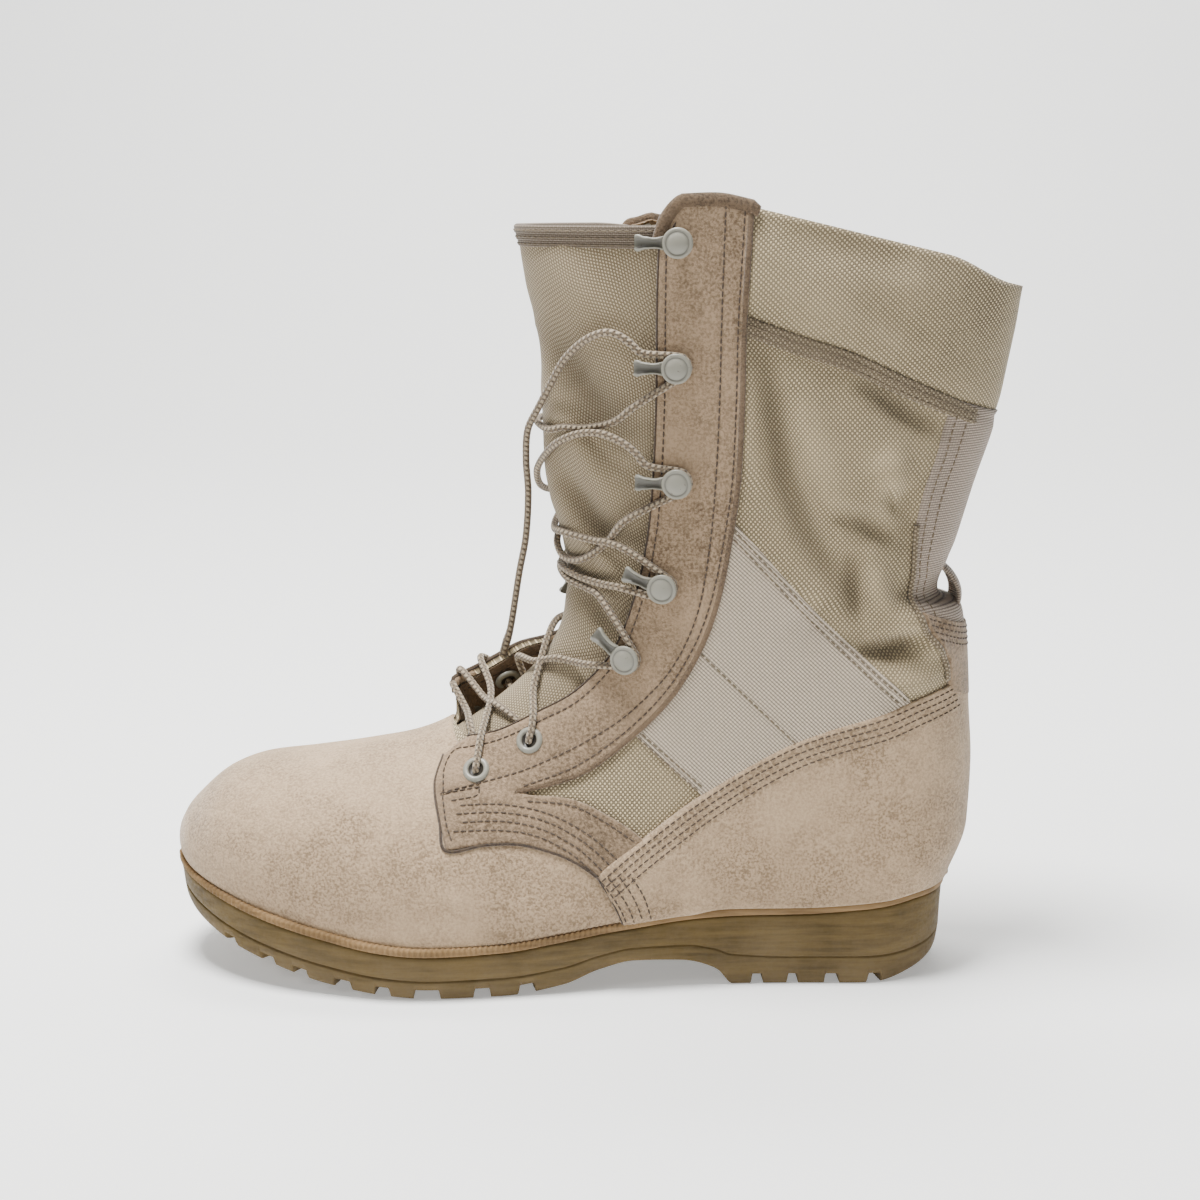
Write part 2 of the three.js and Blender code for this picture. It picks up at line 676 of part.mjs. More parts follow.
function makeMidsole() {
  const shelf = (x) => soleTop(x) - weltHeight - gap;
  const levels = [
    { inset: 2, height: (x) => soleSplit(x) + gap },
    { inset: 1.2, height: (x) => (soleSplit(x) + shelf(x)) / 2 },
    { inset: 0.8, height: shelf },
    { inset: weltWidth + gap, height: shelf },
    { inset: weltWidth + gap, height: soleTop },
  ];
  return makeSoleLayer(levels, stationsAlong(soleSteps));
}

// Flat ring under the edge of the upper, once round the outline.
function makeWelt() {
  const positions = [];
  const faces = [];
  const stations = stationsAlong(soleSteps);
  const loop = [];
  for (let i = 0; i < stations.length - 1; i += 1) loop.push([stations[i], -1]);
  for (let i = stations.length - 1; i > 0; i -= 1) loop.push([stations[i], 1]);
  const corners = [
    { inset: 0.6, drop: weltHeight },
    { inset: 0.2, drop: 0.9 },
    { inset: 1.2, drop: 0 },
    { inset: weltWidth, drop: 0 },
    { inset: weltWidth, drop: weltHeight },
  ];
  for (const [x, side] of loop) {
    for (const corner of corners) {
      const p = outlinePoint(x, side, corner.inset);
      positions.push(p.x, p.y, soleTop(p.x) - corner.drop);
    }
  }
  for (let i = 0; i < loop.length; i += 1) {
    const after = (i + 1) % loop.length;
    for (let j = 0; j < corners.length; j += 1) {
      const next = (j + 1) % corners.length;
      pushQuad(
        faces,
        i * corners.length + j,
        after * corners.length + j,
        after * corners.length + next,
        i * corners.length + next,
      );
    }
  }
  return closedMesh(positions, faces);
}

function makeInsole() {
  const inset = featherInset + wall + insoleClear;
  const levels = [
    { inset, height: (x) => soleTop(x) + insoleLift },
    { inset, height: (x) => soleTop(x) + insoleLift + insoleThick },
  ];
  return makeSoleLayer(levels, stationsAlong(30));
}

// ---- metal --------------------------------------------------------------------------------------

// Frame at a place on the upper: ahead points to the front edge, up the facing, out along the normal.
function frameOnForm(place, tilt, out) {
  const normal = formNormal(place.s, place.t);
  const origin = skinPoint(place.s, place.t, out);
  const turn = THREE.MathUtils.degToRad(tilt);
  const ahead = new THREE.Vector3(-Math.cos(turn), 0, Math.sin(turn));
  ahead.addScaledVector(normal, -ahead.dot(normal)).normalize();
  const up = new THREE.Vector3().crossVectors(normal, ahead);
  return new THREE.Matrix4().makeBasis(ahead, up, normal).setPosition(origin);
}

// Post, flat tab with two raised edges and a domed disc, joined.
function makeHook() {
  const tabThick = 1.2;
  const post = new THREE.CylinderGeometry(hookPostRadius, hookPostRadius, hookTabZ + tabThick / 2, 6);
  post.rotateX(Math.PI / 2);
  post.translate(0, 0, (hookTabZ + tabThick / 2) / 2);
  const tab = new THREE.BoxGeometry(hookTabLength, hookTabWidth, tabThick);
  tab.translate(hookTabLength / 2 - 0.4, 0, hookTabZ + tabThick / 2);
  let solid = toSolid(post).add(toSolid(tab));
  for (const side of [-1, 1]) {
    const ridge = new THREE.BoxGeometry(hookTabLength - 5, 1.5, 1.4);
    ridge.translate(hookTabLength / 2 + 2, side * (hookTabWidth / 2 - 0.75), hookTabZ + 1.5);
    solid = solid.add(toSolid(ridge));
  }
  const profile = [
    [0, 0.7],
    [hookDiscRadius, 0.7],
    [hookDiscRadius, 1.8],
    [hookDiscRadius - 1.2, 2.7],
    [0, 3.1],
  ];
  const disc = new THREE.LatheGeometry(profile.map(([r, h]) => new THREE.Vector2(r, hookTabZ + h)), 10);
  disc.rotateX(Math.PI / 2);
  return fromSolid(solid.add(toSolid(disc)));
}

function makeEyelet() {
  const profile = [
    [eyeletHole, 0],
    [eyeletRadius, 0],
    [eyeletRadius - 0.5, 0.8],
    [eyeletHole + 0.7, 1],
    [eyeletHole, 0.4],
    [eyeletHole, 0],
  ];
  const ring = new THREE.LatheGeometry(profile.map(([r, h]) => new THREE.Vector2(r, h)), 10);
  ring.rotateX(Math.PI / 2);
  return closedMesh(ring.getAttribute("position").array, [...ring.getIndex().array]);
}

// The same place on the medial side: as far behind that side's own edge.
function medialPlace(place) {
  const behind = -(place.t - edgeT("lateral", place.s));
  return { s: place.s, t: edgeT("medial", place.s) + behind };
}

function addMetal(name, geometry, matrix) {
  const piece = addPiece(name, geometry.clone(), colours.metal, 0.45, 0.6);
  piece.applyMatrix4(matrix);
}

function addHardware() {
  const hook = makeHook();
  const eyelet = makeEyelet();
  hookPlaces.forEach((row, i) => {
    const place = placeOnForm(row.x, row.z, -1);
    addMetal(`hook_lateral_${i + 1}`, hook, frameOnForm(place, row.tilt, gap));
    addMetal(`hook_medial_${i + 1}`, hook, frameOnForm(medialPlace(place), row.tilt, gap));
  });
  eyeletPlaces.forEach((row, i) => {
    const place = placeOnForm(row.x, row.z, -1);
    addMetal(`eyelet_lateral_${i + 1}`, eyelet, frameOnForm(place, 0, gap));
    addMetal(`eyelet_medial_${i + 1}`, eyelet, frameOnForm(medialPlace(place), 0, gap));
  });
}

// ---- lace ---------------------------------------------------------------------------------------

// Place and tilt of a hook, counted from 1 at the bottom.
function hookPlace(side, number) {
  const row = hookPlaces[number - 1];
  const lateral = placeOnForm(row.x, row.z, -1);
  return { place: side < 0 ? lateral : medialPlace(lateral), tilt: row.tilt };
}

// Point where the lace lies beside a hook's post, above it where is 1 and below it where is -1.
function besidePost({ side, hook, where }) {
  const { place, tilt } = hookPlace(side, hook);
  const local = new THREE.Vector3(0, where * side * laceClear, laceLift - gap);
  return local.applyMatrix4(frameOnForm(place, tilt, gap));
}

// Plain tube of the lace's size along points, with flat ends.
function makeLace(points) {
  const path = new THREE.CatmullRomCurve3(points);
  const section = new THREE.Shape();
  section.absarc(0, 0, laceRadius, 0, Math.PI * 2);
  const steps = Math.ceil(path.getLength() / laceStep);
  return new THREE.ExtrudeGeometry(section, { extrudePath: path, steps, curveSegments: 4 });
}

function crossingPoints(crossing) {
  const points = crossing.rows.map(([s, t, out]) => skinPoint(s, t, out));
  if (crossing.start) points.unshift(besidePost(crossing.start));
  if (crossing.end) points.push(besidePost(crossing.end));
  return points;
}

// The crossings joined where they touch: one piece for each bunch, from the lowest to the highest.
function addCrossings() {
  const strands = laceCrossings.map((crossing) => toSolid(makeLace(crossingPoints(crossing))));
  const bunches = wasm.Manifold.union(strands).decompose();
  bunches.sort((a, b) => a.boundingBox().min[2] - b.boundingBox().min[2]);
  bunches.forEach((bunch, i) => addPiece(`lace_crossing_${i + 1}`, fromSolid(bunch), colours.lace, 0.9));
}

function addLooseLace(name, points) {
  addPiece(name, makeLace(points.map((point) => new THREE.Vector3(...point))), colours.lace, 0.9);
}

addPiece("outsole", makeOutsole(), colours.rubber, 0.75);
addPiece("midsole", makeMidsole(), colours.rubber, 0.75);
addPiece("welt", makeWelt(), colours.welt, 0.8);
addPiece("insole", makeInsole(), colours.insole, 0.9);
addPiece("upper", makeUpper(), colours.suede, 0.95);
addPiece("tongue", makeTongue(), colours.cloth, 0.95);
addHardware();
addCrossings();
addLooseLace("lace_loop", laceLoop);
addLooseLace("lace_end", laceEnd);

export default root;
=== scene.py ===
import math

import bmesh
import bpy
import numpy as np
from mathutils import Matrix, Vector
from mathutils.geometry import delaunay_2d_cdt


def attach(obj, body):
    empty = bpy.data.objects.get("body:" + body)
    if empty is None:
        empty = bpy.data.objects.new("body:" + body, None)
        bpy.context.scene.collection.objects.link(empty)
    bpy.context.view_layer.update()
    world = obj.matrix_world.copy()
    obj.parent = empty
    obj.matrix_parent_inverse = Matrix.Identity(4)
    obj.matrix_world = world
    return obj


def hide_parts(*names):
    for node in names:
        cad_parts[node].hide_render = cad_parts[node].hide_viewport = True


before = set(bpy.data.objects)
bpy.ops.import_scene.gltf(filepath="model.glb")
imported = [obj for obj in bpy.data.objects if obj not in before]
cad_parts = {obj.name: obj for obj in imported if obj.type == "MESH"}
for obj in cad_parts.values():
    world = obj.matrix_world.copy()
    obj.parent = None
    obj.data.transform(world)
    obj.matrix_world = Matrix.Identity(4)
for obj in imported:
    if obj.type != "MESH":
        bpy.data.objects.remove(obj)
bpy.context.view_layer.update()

# Left combat boot in metres; the tables below are in millimetres, like the boot's own patterns.
# The toe points to -X, the lateral side faces -Y, the floor is Z = 0.
mm = 0.001
lateral, medial = -1, 1
bothSides = ((lateral, "Lateral"), (medial, "Medial"))

sole = {
    "toeTip": -272.5,
    "heelEnd": 43,
    "toeRound": 78,
    "heelRound": 38,
    "featherInset": 3.2,
    "heelInset": 0.8,
    "middleInset": 46,
    "weltHeight": 3.4,
    "grooveDepth": 4.5,
}
upper = {"wall": 2.4, "gap": 0.3, "tongueClear": 1.3, "frontShare": 0.6, "heelSection": 13}


def table(columns, rows):
    # rows of numbers as one array for each named column
    return {name: np.array([row[i] for row in rows], float) for i, name in enumerate(columns)}


soleStations = table(
    ["x", "centre", "half", "top", "split", "bottom"],
    [
        [-272.5, 8, 46, 45.5, 33, 26],
        [-262, 7.5, 47, 40.8, 27.6, 20],
        [-247, 6, 49, 36.4, 22, 14],
        [-230, 4.5, 51, 32, 17.2, 9.2],
        [-208, 2.5, 53, 27.3, 12.4, 4],
        [-185, -1, 54.5, 23.5, 9.2, 1.2],
        [-165, -3.5, 52.5, 22, 8, 0],
        [-137, -5.5, 47, 22.6, 8.2, 0],
        [-113, -6, 42.5, 25.6, 11, 3.2],
        [-98, -5.6, 40, 27.8, 15, 8.6],
        [-84, -5, 38.5, 29.6, 17.4, 11.4],
        [-64, -3.5, 37.3, 32, 17.6, 10.6],
        [-52, -2.7, 37, 32.8, 15.6, 6.8],
        [-45, -2.2, 36.8, 33, 13, 0],
        [-20, -1, 37.2, 33.3, 11.6, 0],
        [14, -0.3, 38, 36, 11.8, 0],
        [30, 0, 38, 37.6, 12.8, 3],
        [43, 0, 38, 37.6, 14.6, 7],
    ],
)

upperSections = table(
    ["foot", "rise", "crestX", "crestZ", "crestY", "outer", "inner", "wide", "power", "round"],
    [
        [-269.5, 0, -269.6, 46, 8, 0, 0, 0.7, 1, 38],
        [-268, 0, -270.6, 53, 8, 13, 13, 0.72, 1, 38],
        [-264.5, 0, -268, 59.6, 8, 21.5, 21.5, 0.74, 0.97, 38],
        [-258, 0, -261.5, 67, 8, 29, 29, 0.76, 0.94, 38],
        [-247, 0, -250.5, 76, 7, 36.5, 36.5, 0.78, 0.92, 38],
        [-231, 0, -236, 81.6, 6, 43.5, 43, 0.8, 0.92, 38],
        [-209, 0, -216, 84.4, 5, 49, 48.5, 0.8, 0.95, 38],
        [-182, 0, -193, 88, 5, 51.5, 51, 0.8, 1, 38],
        [-150, 0, -172, 92.6, 5, 48.5, 48.5, 0.8, 1, 38],
        [-115, 0, -157, 99.5, 5, 43.5, 44, 0.8, 1, 38],
        [-75, 0, -144, 109.5, 4, 39.5, 39, 0.78, 0.98, 38],
        [-32, 0, -132, 120, 3, 38.5, 37.5, 0.75, 0.95, 38],
        [8, 0, -122, 131.5, 2, 38, 37, 0.72, 0.92, 38],
        [42.6, 0, -116.5, 146, 1, 37.5, 37, 0.68, 0.9, 38],
        [50, 22, -115.5, 162, 0, 36.5, 36.5, 0.64, 0.88, 38],
        [50.8, 46, -117.5, 177, 0, 35, 35, 0.6, 0.86, 38],
        [49.2, 70, -122, 191, 0, 34, 34, 0.57, 0.85, 39],
        [47.6, 94, -124.5, 207, 0, 33.5, 33.5, 0.55, 0.85, 41],
        [45.4, 112, -124.5, 221, 0, 33.5, 33.5, 0.54, 0.85, 44],
        [38.6, 125.5, -125, 231, 0, 33.8, 33.8, 0.53, 0.85, 48],
        [42.4, 138, -125.8, 241, 0, 34, 34, 0.52, 0.85, 52],
        [48.6, 160, -128, 256, 0, 34.5, 34.5, 0.51, 0.85, 58],
        [56, 184, -131, 275, 0, 35, 35, 0.5, 0.85, 66],
        [61, 210, -133.5, 298, 0, 35.5, 35.5, 0.49, 0.85, 74],
        [65.6, 236, -134, 321, 0, 36, 36, 0.48, 0.85, 80],
    ],
)
lastSection = len(upperSections["foot"]) - 1

throatBottom = (-158, 97.6)
facingEdges = {
    lateral: [
        (-151, 95.5), (-138, 99.5), (-122, 108), (-107, 117.5), (-93, 134), (-84.5, 157),
        (-80, 180), (-78, 203), (-77, 234), (-77, 270), (-76, 300),
    ],
    medial: [
        (-153, 101), (-141, 108), (-127, 117.5), (-114, 129), (-104, 145), (-97, 163),
        (-94, 183), (-92, 205), (-90, 235), (-89, 270), (-87, 302),
    ],
}
# x, z and tilt in degrees of each hook, x and z of each eyelet
hookPlaces = [(-87.2, 131.9, 37), (-73.8, 160.8, 20), (-68.7, 201.9, 0), (-69.4, 245.2, 0), (-69.4, 290.7, 0)]
eyeletPlaces = [(-147, 85.2), (-125.8, 97)]


def smoothColumn(keys, values, at):
    # cubic between neighbouring rows, its slope the harmonic mean of the slopes on both sides
    at = np.clip(at, keys[0], keys[-1])
    step = np.diff(keys)
    slope = np.diff(values) / step
    before, after = slope[:-1], slope[1:]
    same = before * after > 0
    middle = np.where(same, 2 * before * after / np.where(same, before + after, 1), 0)
    tangent = np.concatenate(([slope[0]], middle, [slope[-1]]))
    i = np.clip(np.searchsorted(keys, at, side="right") - 1, 0, len(step) - 1)
    v = (at - keys[i]) / step[i]
    flat = values[i] + (values[i + 1] - values[i]) * v * v * (3 - 2 * v)
    return flat + step[i] * (v * (1 - v) ** 2 * tangent[i] + v * v * (v - 1) * tangent[i + 1])


def soleValue(column, x):
    # one column of the sole's stations at x
    return smoothColumn(soleStations["x"], soleStations[column], x)


def superRound(k, power):
    # 1 at k = 0 falling to 0 at k = 1 along a superellipse
    return (1 - np.clip(k, 0, 1) ** power) ** (1 / power)


def soleBreadth(x):
    # half breadth, closed at the toe by a superellipse
    return soleValue("half", x) * superRound((sole["toeTip"] + sole["toeRound"] - x) / sole["toeRound"], 2.3)


def backRounding(x, end, length):
    # 1 until length before the end, then round to 0 at the end
    return superRound((x - end + length) / length, 2.1)


def soleHalf(x):
    # half breadth, closed at the heel as well
    return soleBreadth(x) * backRounding(x, sole["heelEnd"], sole["heelRound"])


def outlinePoint(x, side, inset):
    # outline shrunk towards its middle by inset
    middle = (sole["toeTip"] + sole["heelEnd"]) / 2
    length = sole["heelEnd"] - sole["toeTip"]
    half = np.maximum(0, soleHalf(x) * (1 - inset / sole["middleInset"]))
    return middle + (x - middle) * (1 - 2 * inset / length), soleValue("centre", x) + side * half


seamRows = slice(upper["heelSection"], None)
seamX = upperSections["foot"][seamRows]
seamZ = soleValue("top", seamX) + upper["gap"] + upperSections["rise"][seamRows]


def backX(z):
    # x of the back seam at a height
    return smoothColumn(seamZ, seamX, z)


def smoothstep(v, low, high):
    # 0 up to low, 1 from high on, 3v^2 - 2v^3 between them
    v = np.clip((v - low) / (high - low), 0, 1)
    return v * v * (3 - 2 * v)


def featherBreadth(x):
    # half breadth where the upper stands on the sole
    start, end = upperSections["foot"][0], upperSections["foot"][upper["heelSection"]]
    v = np.clip((x - start) / (end - start), 0, 1)
    inset = sole["featherInset"] + (sole["heelInset"] - sole["featherInset"]) * smoothstep(v, 0.55, 0.95)
    breadth = soleBreadth(sole["toeTip"] + v * (sole["heelEnd"] - sole["toeTip"]))
    return breadth * (1 - inset / sole["middleInset"])


def sectionAt(s):
    # the upper's section at s, between the rows; its foot is on the sole or, above it, on the back seam
    index = np.arange(lastSection + 1.0)
    r = {name: smoothColumn(index, column, s) for name, column in upperSections.items()}
    onSole = s < upper["heelSection"]
    r["footZ"] = soleValue("top", r["foot"]) + upper["gap"] + r["rise"]
    r["footX"] = np.where(onSole, r["foot"], backX(r["footZ"]))
    r["footY"] = soleValue("centre", r["footX"])
    r["held"] = np.where(onSole, featherBreadth(r["footX"]), 1e9)
    return r


def formPoint(s, t):
    # a section's quarter ellipse from the crest to its widest place, then back at that breadth
    # until it closes round the heel
    s, t = np.broadcast_arrays(np.asarray(s, float), np.asarray(t, float))
    r = sectionAt(s)
    q, side = np.abs(t), np.where(t < 0, -1, 1)
    share = upper["frontShare"]
    half = np.where(side < 0, r["outer"], r["inner"])
    inFront = q < share
    turn = np.clip(np.pi / 2 * np.where(inFront, q / share, (q - share) / (1 - share)), 0, np.pi / 2)
    cosine, sine = np.cos(turn), np.sin(turn)
    along = np.where(inFront, r["wide"] * (1 - cosine ** r["power"]), r["wide"] + (1 - r["wide"]) * sine)
    x = r["crestX"] + (r["footX"] - r["crestX"]) * along
    z = r["crestZ"] + (r["footZ"] - r["crestZ"]) * along
    held = np.minimum(half, r["held"])
    behind = (half + (held - half) * (1 - cosine)) * backRounding(x, backX(z), r["round"])
    breadth = np.where(inFront, half * sine ** r["power"], behind)
    y = r["crestY"] + (r["footY"] - r["crestY"]) * along + side * breadth
    pole = s <= 0
    x, y, z = np.where(pole, r["footX"], x), np.where(pole, r["footY"], y), np.where(pole, r["footZ"], z)
    return np.stack([x, y, z], -1)


def unit(v):
    # vectors divided by their lengths
    return v / np.maximum(np.linalg.norm(v, axis=-1, keepdims=True), 1e-9)


def formNormal(s, t):
    # cross product of short steps along s and t; at the back seam it stays in the middle plane
    s, t = np.broadcast_arrays(np.asarray(s, float), np.asarray(t, float))
    stepS, stepT = 0.04, 0.004
    alongS = formPoint(np.minimum(lastSection, s + stepS), t) - formPoint(np.maximum(0.1, s - stepS), t)
    alongT = formPoint(s, np.minimum(1, t + stepT)) - formPoint(s, np.maximum(-1, t - stepT))
    normal = unit(np.cross(alongS, alongT))
    back = unit(np.stack([alongS[..., 2], 0 * s, -alongS[..., 0]], -1))
    atSeam = (np.abs(t) > 1 - stepT) & (s >= upper["heelSection"])
    normal = np.where(atSeam[..., None], back, normal)
    return np.where((s < 0.2)[..., None], np.array([-1.0, 0, 0]), normal)


def placeOnForm(x, z, side):
    # s by halving until the section's plane holds (x, z), then t from how far along it the point is
    x, z = np.broadcast_arrays(np.asarray(x, float), np.asarray(z, float))
    low, high = np.full(x.shape, 0.02), np.full(x.shape, float(lastSection))
    for _ in range(36):
        s = (low + high) / 2
        r = sectionAt(s)
        offset = ((r["footX"] - r["crestX"]) * (z - r["crestZ"])
                  - (r["footZ"] - r["crestZ"]) * (x - r["crestX"]))
        low, high = np.where(offset > 0, s, low), np.where(offset > 0, high, s)
    r = sectionAt(s)
    span = np.hypot(r["footX"] - r["crestX"], r["footZ"] - r["crestZ"])
    along = np.clip(np.hypot(x - r["crestX"], z - r["crestZ"]) / span, 0, 1)
    share = upper["frontShare"]
    front = np.arccos(np.clip(1 - along / r["wide"], 0, 1) ** (1 / r["power"])) / (np.pi / 2) * share
    back = share + np.arcsin(np.clip((along - r["wide"]) / (1 - r["wide"]), 0, 1)) / (np.pi / 2) * (1 - share)
    return s, side * np.where(along < r["wide"], front, back)


def edgeRows(side):
    # (s, t) along the facing's front edge, from the throat's foot on the middle line to the top
    s0, _ = placeOnForm(*throatBottom, side)
    s, t = placeOnForm(*np.array(facingEdges[side], float).T, side)
    return np.concatenate(([s0], s, [lastSection + 0.01])), np.concatenate(([0], t, [t[-1]]))


edges = {side: edgeRows(side) for side in (lateral, medial)}
throatStart = max(edges[lateral][0][0], edges[medial][0][0])


def edgeT(side, s):
    # t of the facing's front edge at s, 0 below the throat
    return np.where(s <= throatStart, 0, smoothColumn(*edges[side], s))


def toMedial(s, t):
    # mirrored, plus the two edges' difference, which fades on the way from the edge to the back
    share = np.clip((t - edgeT(lateral, s)) / (-1 - edgeT(lateral, s)), 0, 1)
    return s, -t + (edgeT(medial, s) + edgeT(lateral, s)) * (1 - share) ** 2.6


# soft troughs (depth below zero) and ridges of the shaft, as lines of (x, z) with their half width
shaftFolds = {
    lateral: [
        {"line": [(-40, 262), (-37.6, 248), (-31, 222), (-28, 204), (-20, 183), (-11, 168), (-2, 153)],
         "width": 5.5, "depth": -5.8},
        {"line": [(-25, 238), (-21, 222), (-12, 204), (-5, 186), (2, 176)], "width": 8, "depth": 4.1},
        {"line": [(-42, 250), (-41, 215), (-36, 190)], "width": 5, "depth": 2.3},
        {"line": [(-12, 192), (-2, 188), (7, 183), (16, 178)], "width": 5, "depth": -4.3},
        {"line": [(4, 214), (12, 206), (20, 196)], "width": 9, "depth": 4.3},
        {"line": [(10.5, 202), (12, 196), (14.5, 189)], "width": 1.8, "depth": -2.9},
        {"line": [(-2, 178), (-1, 164), (0.5, 146)], "width": 3.4, "depth": -4.9},
        {"line": [(5, 172), (8, 160), (12, 150)], "width": 5, "depth": 3.5},
        {"line": [(-1, 138), (6, 136), (14, 136), (24, 139.5), (31, 143)], "width": 4.2, "depth": -7.2},
        {"line": [(14, 152), (23, 145.5), (31, 137), (35, 130)], "width": 5, "depth": 4.1},
        {"line": [(4, 125), (14, 122), (26, 123), (36, 126)], "width": 4.5, "depth": 2.9},
        {"line": [(-4, 244), (6, 236), (16, 229), (32, 221)], "width": 5.5, "depth": -4.9},
        {"line": [(20, 214), (18, 196), (20, 178)], "width": 4, "depth": -2.6},
        {"line": [(-10, 164), (-18, 152), (-30, 146)], "width": 5, "depth": 1.7},
        {"line": [(-34, 288), (-8, 283), (20, 272)], "width": 10, "depth": -2.3},
        {"line": [(-6, 268), (12, 258), (30, 250)], "width": 8, "depth": -2.6},
    ],
    medial: [
        {"line": [(-34, 248), (-28, 210), (-18, 180), (-4, 152)], "width": 6, "depth": -5.2},
        {"line": [(-16, 226), (-8, 196), (4, 168)], "width": 8, "depth": 3.5},
        {"line": [(0, 138), (14, 134), (30, 140)], "width": 4.6, "depth": -6.4},
        {"line": [(8, 166), (18, 150), (34, 136)], "width": 6, "depth": 3.8},
        {"line": [(20, 212), (6, 192), (-2, 174)], "width": 5, "depth": -3.5},
        {"line": [(-10, 240), (8, 232), (28, 222)], "width": 6, "depth": -4.1},
        {"line": [(-30, 286), (0, 278), (28, 266)], "width": 10, "depth": -2.3},
    ],
}
collarLine = [(-60, 267.5), (-46, 262.4), (-23.2, 254.4), (-4.2, 248.4), (14.9, 240.1), (35.6, 231.4),
              (62, 221)]
vampDents = [
    {"line": [(-176, 84), (-166, 70), (-164, 52)], "width": 9, "depth": -0.9},
    {"line": [(-150, 52), (-128, 46), (-104, 40)], "width": 7, "depth": -0.8},
]
vampFolds = {
    lateral: vampDents + [{"line": [(-215, 74), (-196, 70), (-180, 60)], "width": 9, "depth": 0.7}],
    medial: vampDents,
}
fullFold = 5  # height in millimetres that is painted as full shade in a trough or a full highlight on a ridge


def lineDistance(x, z, line):
    # distance to a broken line, and how far along it the nearest place is, from 0 to 1
    line = np.asarray(line, float)
    best, at, run = np.full(x.shape, 1e9), np.zeros(x.shape), 0.0
    for (ax, az), (bx, bz) in zip(line[:-1], line[1:]):
        dx, dz = bx - ax, bz - az
        length = math.hypot(dx, dz)
        v = np.clip(((x - ax) * dx + (z - az) * dz) / length**2, 0, 1)
        d = np.hypot(x - ax - v * dx, z - az - v * dz)
        closer = d < best
        best, at = np.where(closer, d, best), np.where(closer, run + v * length, at)
        run += length
    return best, at / run


def foldHeight(x, z, folds):
    # each fold is a bell across its line that dies out at both ends
    height = np.zeros(x.shape)
    for fold in folds:
        d, at = lineDistance(x, z, fold["line"])
        fade = np.sin(np.pi * np.clip(at, 0.04, 0.96)) ** 0.7
        height += fold["depth"] * fade * np.exp(-((d / fold["width"]) ** 2))
    return height


puff = {"height": 2.6, "over": 11, "seamDepth": 0.8, "seamWidth": 2.2}
ankleHollow = {"depth": -6.5, "z": 156.5, "width": 5}


def aboveCollar(points):
    # height over the collar's seam
    return points[..., 2] - np.interp(points[..., 0], *np.array(collarLine).T)


def collarPuff(points, s):
    # padding above the collar's seam: it swells out of the seam and rounds over at the rim
    above = aboveCollar(points)
    swell = puff["height"] * smoothstep(above, -0.5, puff["over"]) * (1 - smoothstep(s, 23.35, 24))
    swell *= 1 - 0.8 * smoothstep(points[..., 0], 15, 50)
    return swell - puff["seamDepth"] * np.exp(-((above / puff["seamWidth"]) ** 2))


def relief(points, s, t):
    # the side's folds, the collar's padding behind the facings and the hollow over the back tab
    x, z = points[..., 0], points[..., 2]
    sides = [foldHeight(x, z, shaftFolds[side] + vampFolds[side]) for side in (lateral, medial)]
    inner = smoothstep(1 - np.abs(t), 0, 0.1)  # no fold runs over the back seam
    behind = smoothstep(x, -47, -41) * smoothstep(s, 18, 19)
    level = np.exp(-(((z - ankleHollow["z"]) / ankleHollow["width"]) ** 2))
    hollow = ankleHollow["depth"] * level * smoothstep(np.abs(t), 0.7, 0.9) * (x > 0)
    return np.where(t < 0, *sides) * inner + collarPuff(points, s) * behind + hollow


# rise and the millimetres that one unit of t spans beside the throat
flap = {"rise": 13, "breadth": 95}
collarRim = {"rise": 5, "medialDrop": 9}


def flapRise(s, t, out):
    # the medial facing stands up from the tongue at its lower end
    behind = (t - edgeT(medial, s)) * flap["breadth"]
    rise = flap["rise"] * (1 - smoothstep(behind, -2, 20)) * smoothstep(s, 8.92, 9.4)
    rise *= 1 - smoothstep(s, 11, 13)
    return rise * smoothstep(t, 0, 0.9 * edgeT(medial, s) + 0.001) * smoothstep(out, -3.65, -3.1)


def skin(s, t, out):
    # the form moved out along its normal, with the folds and the open flap
    points = formPoint(s, t)
    s, t, out = (np.broadcast_to(v, points.shape[:-1]) for v in (s, t, out))
    height = out + relief(points, s, t) + flapRise(s, t, out)
    # the collar's rim stands higher beside the facings, and the medial corner a little lower
    x = points[..., 0]
    rise = collarRim["rise"] * smoothstep(s, 21.5, 24) * smoothstep(x, -76, -50) * (1 - smoothstep(x, 32, 58))
    drop = collarRim["medialDrop"] * smoothstep(s, 23.3, 24) * smoothstep(t, 0.1, 0.35)
    drop *= 1 - smoothstep(x, -50, -10)
    lifted = points + formNormal(s, t) * height[..., None]
    lifted[..., 2] += rise - drop
    return lifted


def runAlong(points, axis=0):
    # length of the way from the first point to each one, along one axis of a grid of points
    steps = np.linalg.norm(np.diff(points, axis=axis), axis=-1)
    return np.concatenate([np.take(steps, [0], axis) * 0, np.cumsum(steps, axis=axis)], axis=axis)


def smoothLine(points, step):
    # Catmull-Rom curve through points, resampled at equal steps
    p = np.asarray(points, float)
    p = np.vstack([2 * p[0] - p[1], p, 2 * p[-1] - p[-2]])
    v = np.linspace(0, 1, 24, endpoint=False)[:, None]
    parts = []
    for a, b, c, d in zip(p[:-3], p[1:-2], p[2:-1], p[3:]):
        parts.append(0.5 * (2 * b + (c - a) * v + (2 * a - 5 * b + 4 * c - d) * v**2
                            + (3 * b - a - 3 * c + d) * v**3))
    dense = np.vstack(parts + [p[-2:-1]])
    run = runAlong(dense)
    count = max(2, int(round(run[-1] / step)) + 1)
    at = np.linspace(0, run[-1], count)
    return np.stack([np.interp(at, run, dense[:, k]) for k in range(dense.shape[1])], -1)


